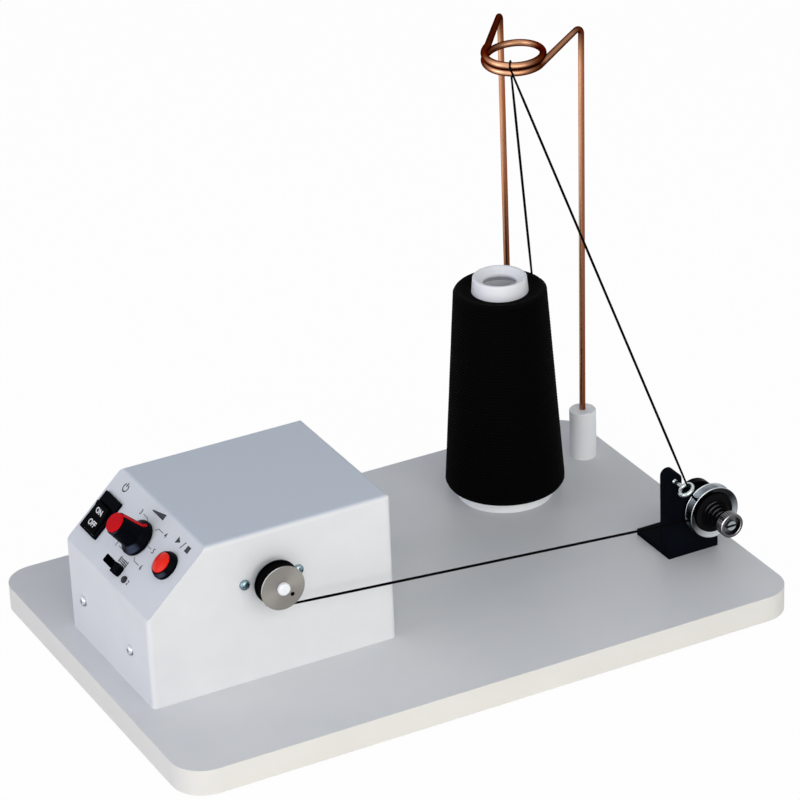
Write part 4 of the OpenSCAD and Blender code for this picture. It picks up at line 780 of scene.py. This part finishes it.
def threadTurns(place, loops, startR, endR, rise, half, otherWay=False):
    return woundMesh("spunThread", place, Loops=float(loops), Points=turnsMade["points"], Start_Radius=startR * mm,
                     End_Radius=endR * mm, Rise=rise * mm, Wire_Radius=half * mm, Wire_Sides=turnsMade["sides"],
                     Other_Way=otherWay)


def raised(z):
    return Matrix.Translation((0, 0, z * mm))


def quarter(step):
    return [math.radians(a) for a in range(0, 91, step)]


def makeCone(c):
    half, bodyR = c["thread"] / 2, c["thread"] * c["bodyShare"]
    lowZ, topZ, dipZ = c["low"], c["high"], c["high"] - c["dip"]
    footR, shoulderR = c["footRound"], c["shoulderR"]
    inner = [(c["tubeFoot"] - (c["tubeFoot"] - c["tubeTop"]) * z / c["tubeH"] + c["tubeGap"], z) for z in (dipZ, lowZ)]
    lowEdge = [(coneR(c, lowZ) - bodyR - footR + footR * math.sin(a), lowZ + footR - footR * math.cos(a))
               for a in quarter(c["footStep"])]
    sideH = topZ - shoulderR - lowZ - footR
    sideZ = [lowZ + footR + sideH * k / c["sideSteps"] for k in range(1, c["sideSteps"])]
    side = [(coneR(c, z) - bodyR, z) for z in sideZ]
    topR = coneR(c, topZ - shoulderR) - bodyR
    shoulderH = shoulderR - c["shoulderSag"]
    shoulder = [(topR - shoulderR + shoulderR * math.cos(a), topZ - shoulderR + shoulderH * math.sin(a))
                for a in quarter(c["shoulderStep"])]
    shoulder.append((inner[0][0] + c["dish"][0], dipZ - c["dish"][1]))
    outline = [(r * mm, z * mm) for r, z in lowEdge + side + shoulder + inner]
    move = Matrix.Translation((c["place"][0] * mm, c["place"][1] * mm, deck))
    parts = [turnedMesh(outline, c["steps"])]
    parts[0].transform(move)
    startZ, stopZ = lowZ + c["startUp"], topZ - shoulderR
    for otherWay, loops, lift in ((False, c["up"], 0.0), (True, c["down"], c["lift"])):
        startR, stopR = (coneR(c, z) - half - c["sink"] + lift for z in (startZ, stopZ))
        parts.append(threadTurns(move @ raised(startZ), loops, startR, stopR, stopZ - startZ, half, otherWay))
    parts.append(threadTurns(move @ raised(dipZ - c["topSink"]), c["topLoops"], inner[0][0] + half + c["topIn"],
                             topR - shoulderR + c["topIn"], c["dip"] - c["topSag"], half))
    return joinMeshes(parts)


addPiece("woundCone", makeCone(cone), "spunThread", "cone", "thread", "cone_thread", "cone_thread_core")
print("thread cone wound")

# bobbin thread: tight turns between the flanges
pack = {"axis": (-107, -59, 63.4), "outer": 12.8, "thread": 0.8, "turns": 9, "inner": 5.2, "gap": 6.0, "width": 9.5,
        "flange": 0.8, "clear": 0.05, "steps": 64}


# a frame on the deck whose Z runs towards the front
def alongY(place):
    spot = Matrix.Translation((place[0] * mm, place[1] * mm, deck + place[2] * mm))
    return spot @ Matrix.Rotation(math.radians(90), 4, "X")


def makePack(p):
    axis, half = alongY(p["axis"]), p["thread"] / 2
    low, high = p["gap"] + p["flange"] + p["clear"], p["gap"] + p["width"] - p["flange"] - p["clear"]
    coreR = p["outer"] - p["thread"]
    core = turnedMesh([(r * mm, z * mm) for r, z in
                       ((p["inner"], low), (coreR, low), (coreR, high), (p["inner"], high))], p["steps"])
    core.transform(axis)
    turns = threadTurns(axis @ raised(low + half + p["clear"]), p["turns"], p["outer"] - half, p["outer"] - half,
                        high - low - p["thread"] - 2 * p["clear"], half)
    return joinMeshes([core, turns])


addPiece("bobbinPack", makePack(pack), "spunThread", "spindle", "thread", "bobbin_thread", "bobbin_thread_core")

# cone spring of the tensioner
spring = {"axis": (180.4, -64, 28.8), "start": 8.9, "length": 11.6, "foot": 9.0, "tip": 4.0, "wire": 1.4,
          "curls": 4.25, "clear": 0.05, "points": 48, "sides": 12}


def makeSpring(s):
    half = s["wire"] / 2
    place = alongY(s["axis"]) @ raised(s["start"] + half + s["clear"])
    return woundMesh("springWire", place, Loops=s["curls"], Points=s["points"], Start_Radius=s["foot"] * mm,
                     End_Radius=s["tip"] * mm, Rise=(s["length"] - s["wire"] - 2 * s["clear"]) * mm,
                     Wire_Radius=half * mm, Wire_Sides=s["sides"], Other_Way=False)


addPiece("tensionSpring", makeSpring(spring), "springWire", "base", "black_metal", "tension_spring")
print("bobbin pack and spring wound")


# panel figures, ticks and signs
panel = {"fold": (-185, 57), "run": 39, "height": 94, "lift": 0.06, "thick": 0.05, "extrude": 0.02, "bold": 0.06,
         "curveSteps": 4, "mitre": 0.4}


def panelMatrix(p):
    a = math.atan2(p["height"] - p["fold"][1], p["run"])
    right, up = Vector((0, -1, 0)), Vector((math.cos(a), 0, math.sin(a)))
    out = right.cross(up)
    m = Matrix((right, up, out)).transposed().to_4x4()
    m.translation = Vector((p["fold"][0] * mm, 0, deck + p["fold"][1] * mm))
    return m


onPanel = panelMatrix(panel)


# on the panel, x runs to the reader's right from the board's middle line and y up the slope, in mm
def textMesh(words, size, place, frameMatrix, lift, bold=panel["bold"]):
    data = bpy.data.curves.new("figure", "FONT")
    data.body, data.size = words, size * mm
    data.align_x, data.align_y = "CENTER", "CENTER"
    data.extrude, data.offset = panel["extrude"] * mm, bold * mm
    data.resolution_u = panel["curveSteps"]
    holder = bpy.data.objects.new("figure", data)
    bpy.context.scene.collection.objects.link(holder)
    bpy.context.view_layer.update()
    mesh = bpy.data.meshes.new_from_object(holder.evaluated_get(bpy.context.evaluated_depsgraph_get()))
    bpy.data.objects.remove(holder)
    mesh.transform(frameMatrix @ Matrix.Translation((place[0] * mm, place[1] * mm, lift * mm)))
    return mesh


# a flat printed stroke along points
def strokeMesh(points, width, frameMatrix, lift, closed=False, thick=panel["thick"]):
    pts = [Vector(p) for p in points]
    n = len(pts)
    left, right = [], []
    for i, p in enumerate(pts):
        before = pts[(i - 1) % n] if closed or i else p
        after = pts[(i + 1) % n] if closed or i < n - 1 else p
        a = (p - before).normalized() if p != before else (after - p).normalized()
        b = (after - p).normalized() if p != after else a
        across = Vector((-(a + b).y, (a + b).x)).normalized()
        reach = width / 2 / max(panel["mitre"], across.dot(Vector((-a.y, a.x))))
        left.append(p + across * reach)
        right.append(p - across * reach)
    return slabMesh(left, right, frameMatrix, lift, closed, thick)


# a slab between two edges, closed into a loop or with two ends
def slabMesh(left, right, frameMatrix, lift, closed, thick=panel["thick"]):
    n = len(left)
    verts = [(v.x * mm, v.y * mm, z * mm) for z in (lift, lift + thick) for v in left + right]
    faces = []
    for i in range(n if closed else n - 1):
        j = (i + 1) % n
        faces += [(2 * n + j, 2 * n + i, 3 * n + i, 3 * n + j), (i, j, n + j, n + i),
                  (i, 2 * n + i, 2 * n + j, j), (n + j, 3 * n + j, 3 * n + i, n + i)]
    if not closed:
        faces += [(0, n, 3 * n, 2 * n), (n - 1, 3 * n - 1, 4 * n - 1, 2 * n - 1)]
    mesh = bpy.data.meshes.new("stroke")
    mesh.from_pydata(verts, [], faces)
    mesh.transform(frameMatrix)
    return faceOut(mesh)


def arcPoints(mid, r, start, stop, steps):
    return [(mid[0] + r * math.cos(math.radians(start + (stop - start) * k / steps)),
             mid[1] + r * math.sin(math.radians(start + (stop - start) * k / steps))) for k in range(steps + 1)]


# figures 1 to 3 up the left and 6 to 4 up the right, each with a tick that turns in towards the knob
dial = {"knobY": 31, "column": 16.6, "rows": (19.6, 31.2, 42.6), "size": 4.6, "stroke": 0.34, "centre": 5.0,
        "near": 3.2, "short": 6.6, "knee": 9.2, "turnIn": (1.8, 1.9)}


def makeDial(d):
    lift, made = panel["lift"], []
    for k, y in enumerate(d["rows"]):
        for side, label in ((-1, str(k + 1)), (1, str(6 - k))):
            x = d["centre"] + side * d["column"]
            made.append(textMesh(label, d["size"], (x, y), onPanel, lift))
            near = (x - side * d["near"], y)
            if k == 1:           # the middle row's ticks stay straight
                tick = [near, (x - side * d["short"], y)]
            else:
                kneeX = x - side * d["knee"]
                inner = (kneeX - side * d["turnIn"][0], y + math.copysign(d["turnIn"][1], d["knobY"] - y))
                tick = [near, (kneeX, y), inner]
            made.append(strokeMesh(tick, d["stroke"], onPanel, lift))
    return made


# points are from each sign's middle, and a filled sign is its upper and its lower edge
signs = {
    "stroke": 0.8,
    "power": {"mid": (-39, 46.4), "ring": 2.5, "span": (125, 415), "ringSteps": 24, "bar": ((0, 0.6), (0, 3.3))},
    "speed": {"mid": (3.4, 49.6), "wedge": (((-7, -1.2), (7, 1.9)), ((-7, -1.9), (7, -1.9)))},
    "start": {"mid": (40.8, 45.6), "play": (((-8, 2.2), (-4, 0.05)), ((-8, -2.2), (-4, -0.05))),
              "bar": ((-1, -2.4), (1, 2.4)), "barShare": 0.8, "stop": (((4, 2), (8, 2)), ((4, -2), (8, -2)))},
    "fill": {"mid": (4.8, 14.8), "flangeX": 4.4, "flangeY": 1.9, "rows": (-1.1, 0, 1.1), "rowX": 3.6,
             "rowStroke": 0.55},
    "lamp": {"mid": (20.6, 8.0), "size": 3.9},
}


def makeSigns(s):
    lift, w = panel["lift"], s["stroke"]
    power, speed, start, fill, lamp = (s[k] for k in ("power", "speed", "start", "fill", "lamp"))

    def around(sign, points):
        return [Vector((sign["mid"][0] + x, sign["mid"][1] + y)) for x, y in points]

    def line(sign, points, width):
        return strokeMesh(around(sign, points), width, onPanel, lift)

    def filled(sign, edges):
        return slabMesh(around(sign, edges[0]), around(sign, edges[1]), onPanel, lift, False)

    ring = arcPoints(power["mid"], power["ring"], *power["span"], power["ringSteps"])
    made = [strokeMesh(ring, w, onPanel, lift), line(power, power["bar"], w),
            filled(speed, speed["wedge"]), filled(start, start["play"]),
            line(start, start["bar"], w * start["barShare"]), filled(start, start["stop"])]
    for x in (-fill["flangeX"], fill["flangeX"]):        # a bobbin from the side, with its thread
        made.append(line(fill, ((x, -fill["flangeY"]), (x, fill["flangeY"])), w))
    for y in fill["rows"]:
        made.append(line(fill, ((-fill["rowX"], y), (fill["rowX"], y)), fill["rowStroke"]))
    made.append(textMesh("2", lamp["size"], lamp["mid"], onPanel, lift))
    return made


addPiece("panelPrint", joinMeshes(makeDial(dial) + makeSigns(signs)), "panelInk", "base", "black_plastic")

# a thin black sheet standing round the walls of the fill slot: painted shade in the slot
slotShadeSheet = {"mid": (-1.4, 9.5), "long": 23, "wide": 5, "corner": 0.8, "cornerSteps": 5, "width": 0.08, "off": 0.01,
           "sink": 0.02, "depth": 2.9}


def makeSlotShadeSheet(s):
    inset = s["off"] + s["width"] / 2
    r = s["corner"] - inset
    points = []
    for k, (x, y) in enumerate(((1, 1), (-1, 1), (-1, -1), (1, -1))):
        mid = (s["mid"][0] + x * (s["long"] / 2 - s["corner"]), s["mid"][1] + y * (s["wide"] / 2 - s["corner"]))
        points += arcPoints(mid, r, 90 * k, 90 * k + 90, s["cornerSteps"])
    return strokeMesh(points, s["width"], onPanel, -s["sink"] - s["depth"], True, s["depth"])


addPiece("slotShadeSheet", makeSlotShadeSheet(slotShadeSheet), "blackSatin", "base", "black_plastic")

# ON and OFF on the paddle's two faces
paddle = {"rise": 22.2, "y": 40.5, "pivot": 1.0, "top": 1.4, "tilt": 7.0, "size": 5.0, "bold": 0.16, "off": 4.0,
          "lift": 0.05}


def makePaddlePrint(p):
    made, tilt = [], math.radians(p["tilt"])
    pivot = onPanel @ Matrix.Translation((-p["y"] * mm, p["rise"] * mm, p["pivot"] * mm))
    ridge = pivot @ Matrix.Rotation(tilt, 4, "X") @ raised(p["top"])
    for words, side in (("ON", 1), ("OFF", -1)):
        face = ridge @ Matrix.Rotation(side * tilt, 4, "X")
        made.append(textMesh(words, p["size"], (0, side * p["off"]), face, p["lift"], p["bold"]))
    return joinMeshes(made)


addPiece("paddlePrint", makePaddlePrint(paddle), "switchInk", "rocker", "white_plastic")
print("panel printed")
